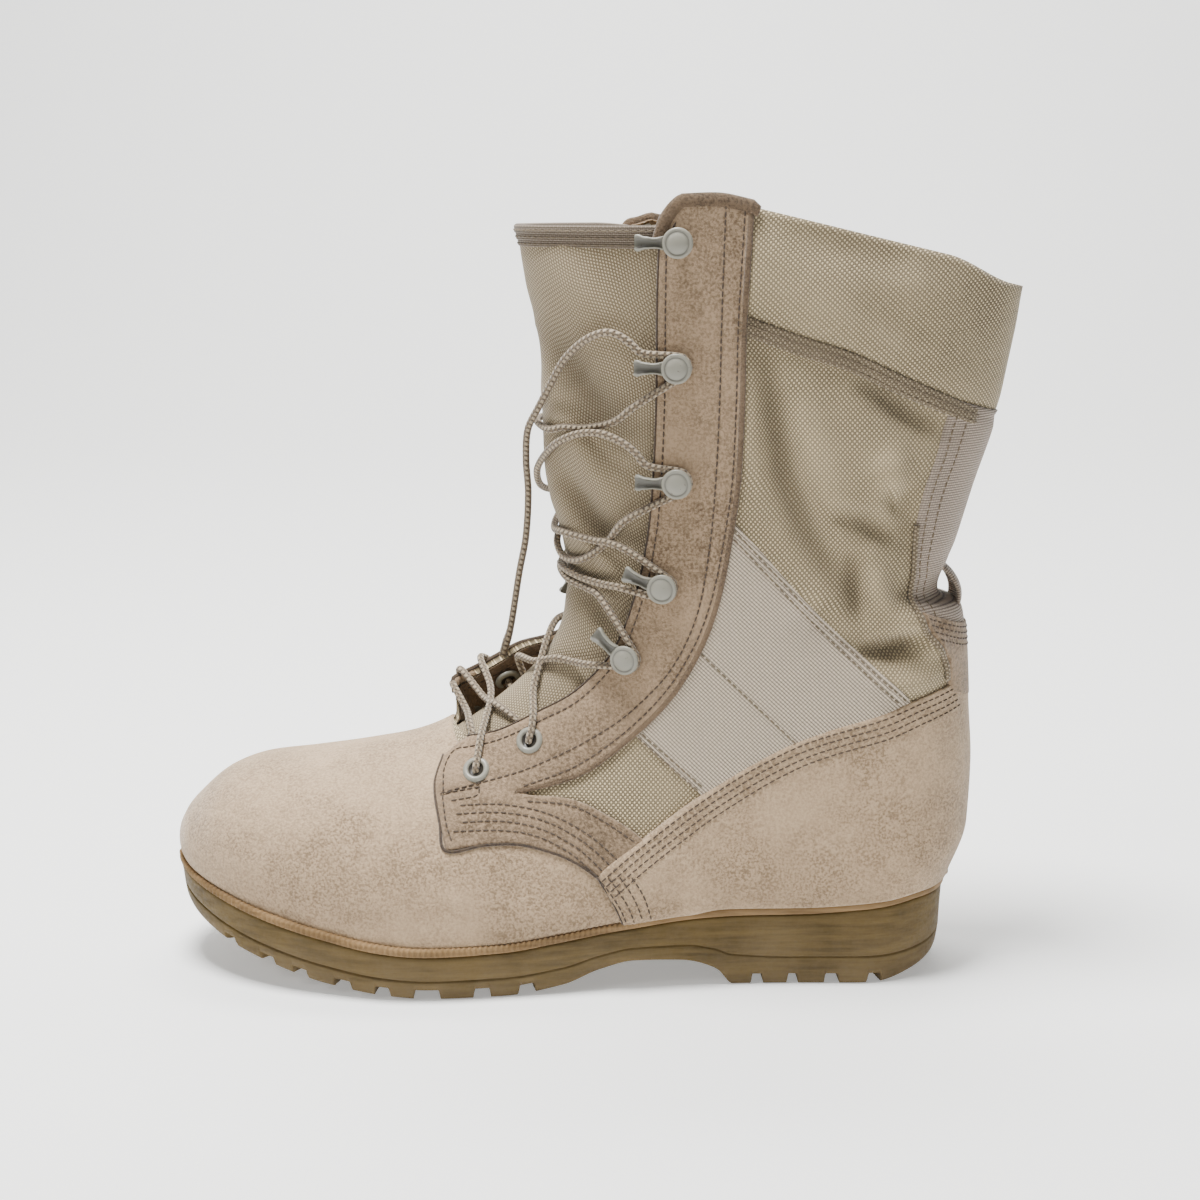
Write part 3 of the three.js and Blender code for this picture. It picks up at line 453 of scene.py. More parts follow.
def addMesh(name, points, faces, material, uv=None, replaces=()):
    # points in millimetres; uv has a pair for each point, also in millimetres
    mesh = bpy.data.meshes.new(name)
    mesh.from_pydata((points.reshape(-1, 3) * mm).tolist(), [], np.asarray(faces).tolist())
    mesh.polygons.foreach_set("use_smooth", np.ones(len(mesh.polygons), bool))
    if uv is not None:
        layer = mesh.uv_layers.new(name="cloth")
        corners = np.empty(len(mesh.loops), int)
        mesh.loops.foreach_get("vertex_index", corners)
        layer.data.foreach_set("uv", uv.reshape(-1, 2)[corners].astype(np.float32).ravel())
    mesh.materials.append(material)
    mesh.update()
    piece = bpy.data.objects.new(name, mesh)
    bpy.context.scene.collection.objects.link(piece)
    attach(piece, "root")
    if replaces:
        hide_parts(*replaces)
    return piece


def setFoldShade(piece, heights):
    # height of the folds at each point, -1 in a deep trough and 1 on a high ridge; the materials paint shade
    # where it is low, and the cloth a highlight where it is high
    layer = piece.data.attributes.new("fold", "FLOAT", "POINT")
    layer.data.foreach_set("value", np.clip(heights.ravel() / fullFold, -1, 1).astype(np.float32))


def gridFaces(rows, columns, flip=False, wrapRows=False, wrapColumns=False, start=0):
    # quads between neighbouring rows and columns, joined end to end where they wrap
    i = np.arange(rows if wrapRows else rows - 1)[:, None]
    j = np.arange(columns if wrapColumns else columns - 1)[None, :]
    below, beyond = (i + 1) % rows * columns, (j + 1) % columns
    quads = np.stack([i * columns + j, below + j, below + beyond, i * columns + beyond], -1)
    return (quads[..., ::-1] if flip else quads).reshape(-1, 4) + start


def addGrid(name, points, material, slot, uv=None, replaces=(), **joins):
    # a grid of points as a piece, with the joins that gridFaces knows
    return addMesh(name, points, gridFaces(*points.shape[:2], **joins), material, uv, replaces)


def closeEnds(points, line):
    # rings along a line, with a last ring at both ends that is shrunk to the line
    sides = points.shape[1]
    return np.concatenate([np.repeat(line[:1, None], sides, 1), points, np.repeat(line[-1:, None], sides, 1)])


def rolledEdge(gap, width):
    # a quarter circle: 0 at the edge, 1 from width inwards
    return np.sqrt(1 - (1 - np.clip(gap / width, 0, 1)) ** 2)


def weld(piece):
    # merges doubled points at poles and seams and drops the faces that vanish
    bm = bmesh.new()
    bm.from_mesh(piece.data)
    bmesh.ops.remove_doubles(bm, verts=bm.verts, dist=2e-6)
    bmesh.ops.dissolve_degenerate(bm, edges=bm.edges, dist=1e-7)
    bm.to_mesh(piece.data)
    bm.free()


def thicken(piece, thickness):
    # a wall of the given thickness behind the surface
    wallModifier = piece.modifiers.new("wall", "SOLIDIFY")
    wallModifier.thickness = thickness * mm
    wallModifier.offset = -1
    return piece


def insidePolygon(x, z, loop):
    # a ray to the right crosses the loop an odd number of times
    inside = np.zeros(x.shape, bool)
    for (ax, az), (bx, bz) in zip(loop, np.roll(loop, -1, axis=0)):
        if az != bz:
            inside ^= ((az > z) != (bz > z)) & (x < (bx - ax) * (z - az) / (bz - az) + ax)
    return inside


def onSide(x, z, side):
    # (s, t) of a place of the lateral side view, moved to the side asked for
    s, t = placeOnForm(x, z, lateral)
    return (s, t) if side == lateral else toMedial(s, t)


def beside(line, gap):
    # the line moved to its left by gap
    line = np.asarray(line, float)
    along = unit(np.gradient(line, axis=0))
    return line + np.stack([-along[:, 1], along[:, 0]], -1) * gap


pattern = {"roll": 0.9, "tuck": 0.35, "groove": 0.35, "grooveWidth": 0.75, "wall": 0.7, "rim": 0.03}


def panel(name, outline, side, material, thick=1.1, lift=0.0, rows=(), spacing=3.2, uvTurn=0.0):
    # a flat pattern meshed inside its outline, laid on the form, with rolled edges and
    # a groove under each row of stitches
    loop = np.vstack([smoothLine(part, 1.3)[:-1] for part in outline])
    forward = unit(np.roll(loop, -1, axis=0) - np.roll(loop, 1, axis=0))
    inward = np.stack([-forward[:, 1], forward[:, 0]], -1)
    area = np.sum(loop[:, 0] * np.roll(loop[:, 1], -1) - np.roll(loop[:, 0], -1) * loop[:, 1])
    if area < 0:
        inward = -inward
    seeds = [loop + inward * d for d in (0.08, 0.45, 1.1)]
    gx, gz = np.meshgrid(np.arange(loop[:, 0].min(), loop[:, 0].max(), spacing),
                         np.arange(loop[:, 1].min(), loop[:, 1].max(), spacing))
    gx[1::2] += spacing / 2
    seeds.append(np.stack([gx.ravel(), gz.ravel()], -1))
    for row in rows:
        seeds += [beside(smoothLine(row, 2.2), gap) for gap in (-1, 0, 1)]
    seeds = np.vstack(seeds)
    ring = np.vstack([loop, loop[:1]])
    gaps, _ = lineDistance(seeds[:, 0], seeds[:, 1], ring)
    seeds = seeds[insidePolygon(seeds[:, 0], seeds[:, 1], loop) & (gaps > 0.05)]
    flat = [Vector(p) for p in np.vstack([loop, seeds])]
    result = delaunay_2d_cdt(flat, [], [list(range(len(loop)))], 1, 1e-4)
    x, z = np.array([tuple(p) for p in result[0]]).T
    faces = np.array(result[2])
    gap, _ = lineDistance(x, z, ring)
    s, t = onSide(x, z, side)
    base = lift(s) if callable(lift) else np.full(x.shape, float(lift))
    edge = gap < pattern["rim"]
    out = np.where(edge, base - pattern["tuck"], base + thick * rolledEdge(gap, pattern["roll"]))
    for row in rows:
        d, _ = lineDistance(x, z, smoothLine(row, 3))
        out -= pattern["groove"] * np.exp(-((d / pattern["grooveWidth"]) ** 2))
    # along the throat the edge goes round to the inner face
    wrapped = edge & (s > throatStart) & (np.abs(t) < np.abs(edgeT(side, s)) + 0.012)
    out[wrapped] = -upper["wall"]
    turn = math.radians(uvTurn)
    uv = np.stack([x * math.cos(turn) + z * math.sin(turn), z * math.cos(turn) - x * math.sin(turn)], -1)
    # a triangle that runs against the clock in the side view faces -Y
    a, b, c = (np.stack([x, z])[:, faces[:, k]] for k in range(3))
    against = (b[0] - a[0]) * (c[1] - a[1]) - (b[1] - a[1]) * (c[0] - a[0]) > 0
    keep = against if side == lateral else ~against
    faces[~keep] = faces[~keep][:, ::-1]
    return thicken(addMesh(name, skin(s, t, out), faces, material, uv), pattern["wall"])


tape = {"sides": 15, "rise": 0.9}


def addBinding(name, line, side, out, material, width, slot):
    # tape along a line of the side view, an ellipse of width by twice its rise
    x, z = smoothLine(line, 1.2).T
    s, t = onSide(x, z, side)
    centre = skin(s, t, out(s) if callable(out) else out)
    forward = unit(np.gradient(centre, axis=0))
    normal = formNormal(s, t)
    normal = unit(normal - forward * np.sum(normal * forward, -1, keepdims=True))
    across = np.cross(normal, forward)
    angle = np.linspace(0, 2 * np.pi, tape["sides"])[:, None]
    points = centre[:, None] + across[:, None] * np.cos(angle) * width / 2
    points = closeEnds(points + normal[:, None] * np.sin(angle) * tape["rise"], centre)
    run = np.pad(runAlong(centre), 1, "edge")
    uv = np.stack(np.broadcast_arrays(run[:, None], np.linspace(0, 2 * width, tape["sides"])[None]), -1)
    weld(addGrid(name, points, material, slot, uv, flip=True))


def addTube(name, line, radius, material, slot):
    # eight-sided tube along a line, with closed ends
    forward = unit(np.gradient(line, axis=0))
    across = unit(np.cross(forward, [0.0, 0, 1]))
    up = np.cross(across, forward)
    angle = np.linspace(0, 2 * np.pi, 9)[:-1, None]
    ring = across[:, None] * np.cos(angle) + up[:, None] * np.sin(angle)
    points = closeEnds(line[:, None] + ring * radius, line)
    weld(addGrid(name, points, material, slot, flip=True, wrapColumns=True))


def strip(line, low, high):
    # the four sides of a band that follows a line, from low to high beside it
    a, b = beside(line, low), beside(line, high)
    return [a, np.array([a[-1], b[-1]]), b[::-1], np.array([b[0], a[0]])]


stitch = {"pitch": 2.9, "length": 2.3, "radius": 0.36, "raised": 0.3, "sides": 6}


def stitchPlaces(s, t, out):
    # middle, direction and normal of each stitch along a fine line on the form
    line = skin(s, t, out)
    run = runAlong(line)
    at = np.arange(stitch["pitch"] / 2, run[-1], stitch["pitch"])
    spots = np.stack([np.interp(at, run, line[:, k]) for k in range(3)], -1)
    along = unit(np.stack([np.interp(at, run, np.gradient(line[:, k], run)) for k in range(3)], -1))
    normal = formNormal(np.interp(at, run, s), np.interp(at, run, t))
    return spots, along, normal


def addStitches(name, rows, material):
    # every stitch is a small spindle with flat caps, raised by a share of its radius
    spots, along, normal = (np.vstack(part) for part in zip(*[stitchPlaces(*row) for row in rows]))
    across = unit(np.cross(normal, along))
    ends = np.array([-1, -0.75, 0, 0.75, 1]) * stitch["length"] / 2
    girth = np.array([0.15, 0.8, 1, 0.8, 0.15]) * stitch["radius"]
    angle = np.arange(stitch["sides"]) * 2 * np.pi / stitch["sides"]
    a = np.repeat(ends, stitch["sides"])[:, None]
    b = (girth[:, None] * np.cos(angle)).reshape(-1, 1)
    c = (girth[:, None] * np.sin(angle)).reshape(-1, 1) + stitch["radius"] * stitch["raised"]
    points = spots[:, None] + along[:, None] * a + across[:, None] * b + normal[:, None] * c
    caps = [[0, 1, 2, 3], [0, 3, 4, 5], [27, 26, 25, 24], [29, 28, 27, 24]]
    one = np.vstack([gridFaces(len(ends), stitch["sides"], wrapColumns=True, flip=True), caps])
    faces = one[None] + (np.arange(len(spots)) * len(a))[:, None, None]
    return addMesh(name, points, faces.reshape(-1, 4), material)


def withMedial(rows):
    # each row of stitches followed by its twin on the medial side
    return [twin for s, t, out in rows for twin in ((s, t, out), (*toMedial(s, t), out))]


def sideRow(points, side, out):
    # stitch line given in the side view
    x, z = smoothLine(points, 1.5).T
    s, t = onSide(x, z, side)
    return s, t, out(s) if callable(out) else out


def addNode(tree, kind, inputs=None, **settings):
    # a node with its settings; an input is linked to a socket or set to a value
    made = tree.nodes.new(kind)
    for name, value in settings.items():
        setattr(made, name, value)
    for key, value in (inputs or {}).items():
        if isinstance(value, bpy.types.NodeSocket):
            tree.links.new(value, made.inputs[key])
        else:
            made.inputs[key].default_value = value
    return made


def calc(tree, operation, a, b=0.0):
    # one step of arithmetic
    return addNode(tree, "ShaderNodeMath", {0: a, 1: b}, operation=operation).outputs[0]


def times(tree, a, b):
    # a * b
    return calc(tree, "MULTIPLY", a, b)


def plus(tree, a, b):
    # a + b
    return calc(tree, "ADD", a, b)


def waveOf(tree, turns):
    # sine of half a turn for each whole step
    return calc(tree, "SINE", times(tree, turns, math.pi))


def remap(tree, value, low, high, start=0.0, end=1.0):
    # start at low, end at high, straight between them
    return addNode(tree, "ShaderNodeMapRange", {0: value, 1: low, 2: high, 3: start, 4: end}).outputs[0]


def noise(tree, where, scale, detail, roughness):
    # cloudy noise about 0.5
    inputs = {"Vector": where, "Scale": scale, "Detail": detail, "Roughness": roughness}
    return addNode(tree, "ShaderNodeTexNoise", inputs).outputs[0]


def mixColour(tree, factor, a, b):
    # a where the factor is 0, b where it is 1
    a, b = (v if isinstance(v, bpy.types.NodeSocket) else (*v, 1) for v in (a, b))
    return addNode(tree, "ShaderNodeMix", {0: factor, 6: a, 7: b}, data_type="RGBA").outputs[2]


def tinted(colour, share):
    # each channel times share
    return tuple(c * share for c in colour)


def newGroup(name, outputs, **inputs):
    # a group that takes a Vector and numbers with these defaults, and gives numbers
    tree = bpy.data.node_groups.new(name, "ShaderNodeTree")
    tree.interface.new_socket("Vector", in_out="INPUT", socket_type="NodeSocketVector")
    for label, value in inputs.items():
        tree.interface.new_socket(label, in_out="INPUT", socket_type="NodeSocketFloat").default_value = value
    for label in outputs:
        tree.interface.new_socket(label, in_out="OUTPUT", socket_type="NodeSocketFloat")
    return tree, tree.nodes.new("NodeGroupInput").outputs, tree.nodes.new("NodeGroupOutput").inputs


def makeWeaveGroup():
    # every second cell holds a raised float, half a sine across both ways, and the cells between
    # lie lower; ribbed cloth has ribs along U instead, a little broken up
    tree, given, made = newGroup("plainWeave", ["Height"], PitchU=0.85, PitchV=0.92, Ribbed=0.0)
    place = addNode(tree, "ShaderNodeSeparateXYZ", {0: given["Vector"]}).outputs
    waveU = waveOf(tree, calc(tree, "DIVIDE", place[0], given["PitchU"]))
    waveV = waveOf(tree, calc(tree, "DIVIDE", place[1], given["PitchV"]))
    acrossU, acrossV = calc(tree, "ABSOLUTE", waveU), calc(tree, "ABSOLUTE", waveV)
    bump = calc(tree, "POWER", times(tree, acrossU, acrossV), 0.6)
    even = calc(tree, "GREATER_THAN", times(tree, waveU, waveV), 0.0)
    woven = times(tree, bump, plus(tree, times(tree, even, 0.8), 0.2))
    rib = times(tree, acrossV, plus(tree, times(tree, acrossU, 0.35), 0.65))
    difference = times(tree, calc(tree, "SUBTRACT", rib, woven), given["Ribbed"])
    tree.links.new(plus(tree, woven, difference), made["Height"])
    return tree


def makeNapGroup():
    # brushed fibres: fine and middle noise for height and tone, slow noise for worn patches
    tree, given, made = newGroup("brushedNap", ["Height", "Tone", "Patch"], Grain=900.0)
    fine = noise(tree, given["Vector"], given["Grain"], 3.0, 0.65)
    middle = noise(tree, given["Vector"], 170.0, 4.0, 0.6)
    height = plus(tree, times(tree, fine, 0.5), times(tree, middle, 0.7))
    tone = plus(tree, times(tree, fine, 0.82), times(tree, middle, 0.18))
    slow = noise(tree, given["Vector"], 26.0, 3.0, 0.55)
    for label, value in (("Height", height), ("Tone", tone), ("Patch", slow)):
        tree.links.new(value, made[label])
    return tree


def makeSoilGroup():
    # dust that is thickest at the floor and breaks up with noise, from 0 to 1; with a high top, as on the
    # facing, it is painted shade
    tree, given, made = newGroup("soil", ["Mask"], Top=0.075)
    z = addNode(tree, "ShaderNodeSeparateXYZ", {0: given["Vector"]}).outputs[2]
    low = calc(tree, "SUBTRACT", 1.0, calc(tree, "DIVIDE", z, given["Top"]))
    cloud = calc(tree, "SUBTRACT", noise(tree, given["Vector"], 45.0, 5.0, 0.7), 0.5)
    tree.links.new(remap(tree, plus(tree, low, times(tree, cloud, 2.2)), 0.0, 1.3), made["Mask"])
    return tree


groups = {"weave": makeWeaveGroup(), "nap": makeNapGroup(), "soil": makeSoilGroup()}


def addGroup(tree, name, **inputs):
    # outputs of one of the groups
    return addNode(tree, "ShaderNodeGroup", inputs, node_tree=groups[name]).outputs


def newMaterial(name, roughness=0.9, sheen=0.0):
    # material, its nodes, its shader, and the places of a point on the object and on the cloth
    material = bpy.data.materials.new(name)
    material.use_nodes = True
    tree = material.node_tree
    shader = tree.nodes["Principled BSDF"].inputs
    shader["Roughness"].default_value = roughness
    shader["Sheen Weight"].default_value = sheen
    shader["Sheen Roughness"].default_value = 0.5
    where = addNode(tree, "ShaderNodeTexCoord").outputs
    return material, tree, shader, where["Object"], where["UV"]


def dress(tree, shader, colour, height, depth, strength, roughness=None):
    # colour, bump of a depth in millimetres, and roughness where it varies
    bump = addNode(tree, "ShaderNodeBump", {"Strength": strength, "Distance": depth * mm, "Height": height})
    tree.links.new(colour, shader["Base Color"])
    tree.links.new(bump.outputs[0], shader["Normal"])
    if roughness is not None:
        tree.links.new(roughness, shader["Roughness"])


suedeLook = {
    "vamp": {"light": (0.44, 0.315, 0.195), "dark": (0.2, 0.133, 0.074)},
    "facing": {"light": (0.32, 0.222, 0.135), "dark": (0.105, 0.067, 0.035)},
    "binding": {"light": (0.15, 0.098, 0.056), "dark": (0.06, 0.038, 0.02)},
    "cutEdge": {"light": (0.06, 0.038, 0.021), "dark": (0.02, 0.012, 0.007)},
}


def makeSuede(name, look, grain=960.0, dustAndShadeTop=0.06, dirtAndShade=0.42):
    # nap from dark to light, paler in worn patches, darker from the floor up to the given top: dust near the
    # floor, and painted shade where the top is set high
    material, tree, shader, place, _ = newMaterial(name, 0.95, 0.25)
    nap = addGroup(tree, "nap", Vector=place, Grain=grain)
    soil = addGroup(tree, "soil", Vector=place, Top=dustAndShadeTop)
    colour = mixColour(tree, remap(tree, nap["Tone"], 0.39, 0.59), look["dark"], look["light"])
    worn = remap(tree, nap["Patch"], 0.4, 0.66, 0.0, 0.55)
    colour = mixColour(tree, worn, colour, tinted(look["light"], 1.2))
    colour = mixColour(tree, times(tree, soil["Mask"], dirtAndShade), colour, tinted(look["dark"], 0.72))
    dress(tree, shader, colour, nap["Height"], 1.1, 0.9)
    return material


def clothTable(rows):
    # light yarn and the painted shade between yarns, pitch along U and V in millimetres, and the share of ribs
    return {name: dict(zip(("light", "dark", "pitch", "ribbed"), row)) for name, row in rows.items()}


clothLook = clothTable({
    "shaft": ((0.78, 0.625, 0.375), (0.035, 0.023, 0.01), (0.92, 1.0), 0.0),
    "webbing": ((0.72, 0.595, 0.45), (0.03, 0.02, 0.012), (1.3, 1.15), 0.9),
    "backing": ((0.50, 0.40, 0.31), (0.05, 0.035, 0.024), (1.15, 1.0), 0.8),
    "seam": ((0.44, 0.345, 0.215), (0.045, 0.03, 0.016), (0.85, 0.9), 0.0),
    "tape": ((0.24, 0.185, 0.13), (0.05, 0.037, 0.025), (0.8, 0.9), 0.7),
    "tongue": ((0.60, 0.48, 0.30), (0.075, 0.052, 0.026), (0.85, 0.85), 0.0),
    "felt": ((0.3, 0.27, 0.22), (0.16, 0.14, 0.11), (0.9, 0.9), 0.0),
})


def foldShadeOf(tree):
    # height of the folds as stored on the piece, which sets painted shade and painted highlight
    return addNode(tree, "ShaderNodeAttribute", attribute_name="fold").outputs["Fac"]


def makeCloth(name, look):
    # yarns pale on top with painted shade between them; painted shade in the folds' troughs and a painted
    # highlight on their ridges
    material, tree, shader, place, uv = newMaterial(name, 0.72, 0.15)
    pitchU, pitchV = look["pitch"]
    weave = addGroup(tree, "weave", Vector=uv, PitchU=pitchU, PitchV=pitchV, Ribbed=look["ribbed"])
    nap = addGroup(tree, "nap", Vector=place, Grain=1500.0)
    fold = foldShadeOf(tree)
    # painted shade: the low places between the yarns take the dark colour
    colour = mixColour(tree, weave["Height"], look["dark"], look["light"])
    # random patches, then painted shade in the troughs and a painted highlight on the ridges
    for factor, tone in (
        (remap(tree, nap["Patch"], 0.3, 0.7, 0.0, 0.3), tinted(look["light"], 0.55)),
        (remap(tree, fold, -0.05, -0.9, 0.0, 0.42), tinted(look["dark"], 0.75)),
        (remap(tree, fold, 0.1, 0.8, 0.0, 0.12), tinted(look["light"], 1.15)),
    ):
        colour = mixColour(tree, factor, colour, tone)
    dress(tree, shader, colour, weave["Height"], 0.32, 0.9, remap(tree, weave["Height"], 0.3, 1.0, 0.9, 0.55))
    return material


rubberLook = {
    "sole": {"light": (0.112, 0.073, 0.022), "dark": (0.05, 0.031, 0.007)},
    "welt": {"light": (0.25, 0.155, 0.07), "dark": (0.10, 0.058, 0.022)},
    "dust": (0.20, 0.15, 0.09),
}


def makeRubber(name, look):
    # moulded rubber with long faint streaks along the sole and dust near the floor
    material, tree, shader, place, _ = newMaterial(name, 0.62)
    shader["Specular IOR Level"].default_value = 0.22
    stretch = addNode(tree, "ShaderNodeMapping", {"Vector": place, "Scale": (0.12, 0.5, 1.6)}).outputs[0]
    streaks = noise(tree, stretch, 260.0, 5.0, 0.6)
    nap = addGroup(tree, "nap", Vector=place, Grain=700.0)
    soil = addGroup(tree, "soil", Vector=place, Top=0.03)
    colour = mixColour(tree, remap(tree, streaks, 0.33, 0.68), look["dark"], look["light"])
    worn = remap(tree, nap["Patch"], 0.4, 0.7, 0.0, 0.4)
    colour = mixColour(tree, worn, colour, tinted(look["light"], 1.25))
    colour = mixColour(tree, times(tree, soil["Mask"], 0.35), colour, rubberLook["dust"])
    dress(tree, shader, colour, streaks, 0.35, 0.5, remap(tree, nap["Tone"], 0.3, 0.7, 0.5, 0.8))
    return material


# the darkest colour is painted shade in the hooks' grooves and the eyelets' holes
metalLook = {"light": (0.26, 0.25, 0.205), "dark": (0.205, 0.195, 0.155), "chip": (0.13, 0.105, 0.075),
             "dirtAndShade": (0.014, 0.011, 0.008)}


def makePaintedMetal(name, look):
    # satin paint with small chips, and painted shade in the grooves, under the discs and tabs and in the
    # eyelets' holes
    material, tree, shader, place, _ = newMaterial(name, 0.4)
    nap = addGroup(tree, "nap", Vector=place, Grain=2200.0)
    chips = remap(tree, noise(tree, place, 620.0, 3.0, 0.6), 0.66, 0.72)
    colour = mixColour(tree, nap["Patch"], look["dark"], look["light"])
    colour = mixColour(tree, chips, colour, look["chip"])
    # painted shade where the stored value is below zero
    colour = mixColour(tree, remap(tree, foldShadeOf(tree), 0.0, -1.0, 0.0, 0.96), colour, look["dirtAndShade"])
    dress(tree, shader, colour, nap["Height"], 0.06, 0.5, remap(tree, nap["Tone"], 0.3, 0.7, 0.28, 0.48))
    return material


def makeThread(name, light, dark):
    # twisted thread, seen only as fine noise between two tones
    material, tree, shader, place, _ = newMaterial(name, 0.8, 0.1)
    nap = addGroup(tree, "nap", Vector=place, Grain=2600.0)
    dress(tree, shader, mixColour(tree, nap["Tone"], dark, light), nap["Height"], 0.15, 0.8)
    return material


# the braid winds its yarns both ways; pitch is millimetres of lace for each step of the pattern; the gap
# colour is painted shade between the yarns
braid = {"yarns": 4.0, "pitch": 2.3, "light": (0.42, 0.335, 0.225), "dark": (0.15, 0.105, 0.06),
         "gap": (0.04, 0.028, 0.016), "soil": (0.25, 0.2, 0.15)}


def makeBraid(name, look):
    # two sets of yarns wound both ways round the lace: light ones over darker ones
    material, tree, shader, place, uv = newMaterial(name, 0.8, 0.2)
    split = addNode(tree, "ShaderNodeSeparateXYZ", {0: uv}).outputs
    around, along = times(tree, split[0], look["yarns"]), calc(tree, "DIVIDE", split[1], look["pitch"])
    right, left = (waveOf(tree, calc(tree, way, around, along)) for way in ("ADD", "SUBTRACT"))
    over = calc(tree, "GREATER_THAN", times(tree, right, left), 0.0)
    leftHeight = times(tree, calc(tree, "ABSOLUTE", left), 0.85)
    height = calc(tree, "MAXIMUM", calc(tree, "ABSOLUTE", right), leftHeight)
    nap = addGroup(tree, "nap", Vector=place, Grain=1800.0)
    yarn = mixColour(tree, over, look["dark"], look["light"])
    # painted shade: the low places between the yarns darken towards the gap colour
    colour = mixColour(tree, calc(tree, "POWER", height, 2.0), look["gap"], yarn)
    colour = mixColour(tree, times(tree, nap["Patch"], 0.25), colour, look["soil"])
    dress(tree, shader, colour, height, 0.5, 0.9)
    return material


looks = {
    "vamp": makeSuede("vampSuede", suedeLook["vamp"]),
    # the facing darkens up to 160 mm: painted shade over its lower part and round the eyelets, dust near the
    # floor
    "facing": makeSuede("facingSuede", suedeLook["facing"], 900.0, 0.16, 0.5),
    "binding": makeSuede("edgeSuede", suedeLook["binding"], 1100.0),
    "cutEdge": makeSuede("cutEdge", suedeLook["cutEdge"]),
    "rubber": makeRubber("soleRubber", rubberLook["sole"]),
    "welt": makeRubber("weltRubber", rubberLook["welt"]),
    "metal": makePaintedMetal("hookPaint", metalLook),
    "thread": makeThread("brownThread", (0.085, 0.056, 0.034), (0.03, 0.019, 0.011)),
    "paleThread": makeThread("paleThread", (0.21, 0.16, 0.1), (0.07, 0.05, 0.03)),
    "lace": makeBraid("laceBraid", braid),
}
for part, name in (("shaft", "shaftCloth"), ("tongue", "tongueCloth"), ("webbing", "ankleWebbing"),
                   ("backing", "backWebbing"), ("tape", "edgeTape"), ("seam", "seamCloth"),
                   ("felt", "footbedFelt")):
    looks[part] = makeCloth(name, clothLook[part])
print("materials ready")


view = {"target": (-98.4, 0, 149), "distance": 800, "pitch": 11.8, "lens": 59.76}


def addCamera():
    # at the distance from the target, raised by the pitch
    pitch = math.radians(view["pitch"])
    x, y, z = view["target"]
    data = bpy.data.cameras.new("camera")
    data.lens = view["lens"]
    data.sensor_width = 36
    camera = bpy.data.objects.new("camera", data)
    camera.location = (x * mm, (y - view["distance"] * math.cos(pitch)) * mm,
                       (z + view["distance"] * math.sin(pitch)) * mm)
    camera.rotation_euler = (math.pi / 2 - pitch, 0, 0)
    bpy.context.scene.collection.objects.link(camera)
    bpy.context.scene.camera = camera


backdrop = {"front": -4.0, "bend": 1.5, "radius": 1.2, "reach": 4.5, "top": 5.0, "glow": 0.36}


def addFloor():
    # floor that curves up into a wall behind by a quarter circle
    bend, radius, reach = backdrop["bend"], backdrop["radius"], backdrop["reach"]
    turn = np.linspace(0, math.pi / 2, 25)
    profile = [(bend + radius * math.sin(a), radius * (1 - math.cos(a))) for a in turn]
    profile = [(backdrop["front"], 0.0)] + profile + [(bend + radius, backdrop["top"])]
    points = [(x, y, z) for y, z in profile for x in (-reach, reach)]
    mesh = bpy.data.meshes.new("backdrop")
    mesh.from_pydata(points, [], gridFaces(len(profile), 2, flip=True).tolist())
    mesh.polygons.foreach_set("use_smooth", np.ones(len(mesh.polygons), bool))
    floor = bpy.data.objects.new("backdrop", mesh)
    bpy.context.scene.collection.objects.link(floor)
    material, tree, shader, place, _ = newMaterial("studioFloor", 0.9)
    nap = addGroup(tree, "nap", Vector=place, Grain=60.0)
    colour = mixColour(tree, nap["Patch"], (0.80, 0.80, 0.785), (0.815, 0.815, 0.80))
    tree.links.new(colour, shader["Base Color"])
    shader["Emission Color"].default_value = (1, 1, 0.985, 1)
    shader["Emission Strength"].default_value = backdrop["glow"]
    mesh.materials.append(material)


# places and aims in metres
lights = {
    "overhead": {"place": (-0.3, -0.12, 1.5), "size": 0.5, "watts": 60},
    "leftSoftbox": {"place": (-1.4, -0.9, 1.3), "size": 0.45, "watts": 7},
    "frontFill": {"place": (0.9, -2.2, 0.8), "size": 1.2, "watts": 2.5},
    "backdropLight": {"place": (0, 1.0, 2.4), "size": 1.6, "watts": 115, "target": (0, 2.7, 0.9)},
}
dome = {"tint": (0.97, 0.98, 1, 1), "strength": 0.14, "seenStrength": 0.78}


def addLight(name, place, size, watts, target=(-0.1, 0, 0.12)):
    # a disc that faces its target
    data = bpy.data.lights.new(name, "AREA")
    data.shape = "DISK"
    data.size = size
    data.energy = watts
    light = bpy.data.objects.new(name, data)
    light.location = place
    aim = Vector(target) - light.location
    light.rotation_euler = aim.to_track_quat("-Z", "Y").to_euler()
    bpy.context.scene.collection.objects.link(light)


def addWorld():
    # a dim dome for the light, seen as a pale room
    world = bpy.data.worlds.new("studio")
    world.use_nodes = True
    tree = world.node_tree
    sky = tree.nodes["Background"].inputs
    sky["Color"].default_value = dome["tint"]
    seen = addNode(tree, "ShaderNodeLightPath").outputs["Is Camera Ray"]
    tree.links.new(remap(tree, seen, 0.0, 1.0, dome["strength"], dome["seenStrength"]), sky["Strength"])
    bpy.context.scene.world = world


addCamera()
addFloor()
for lightName, light in lights.items():
    addLight(lightName, **light)
addWorld()
print("studio ready")


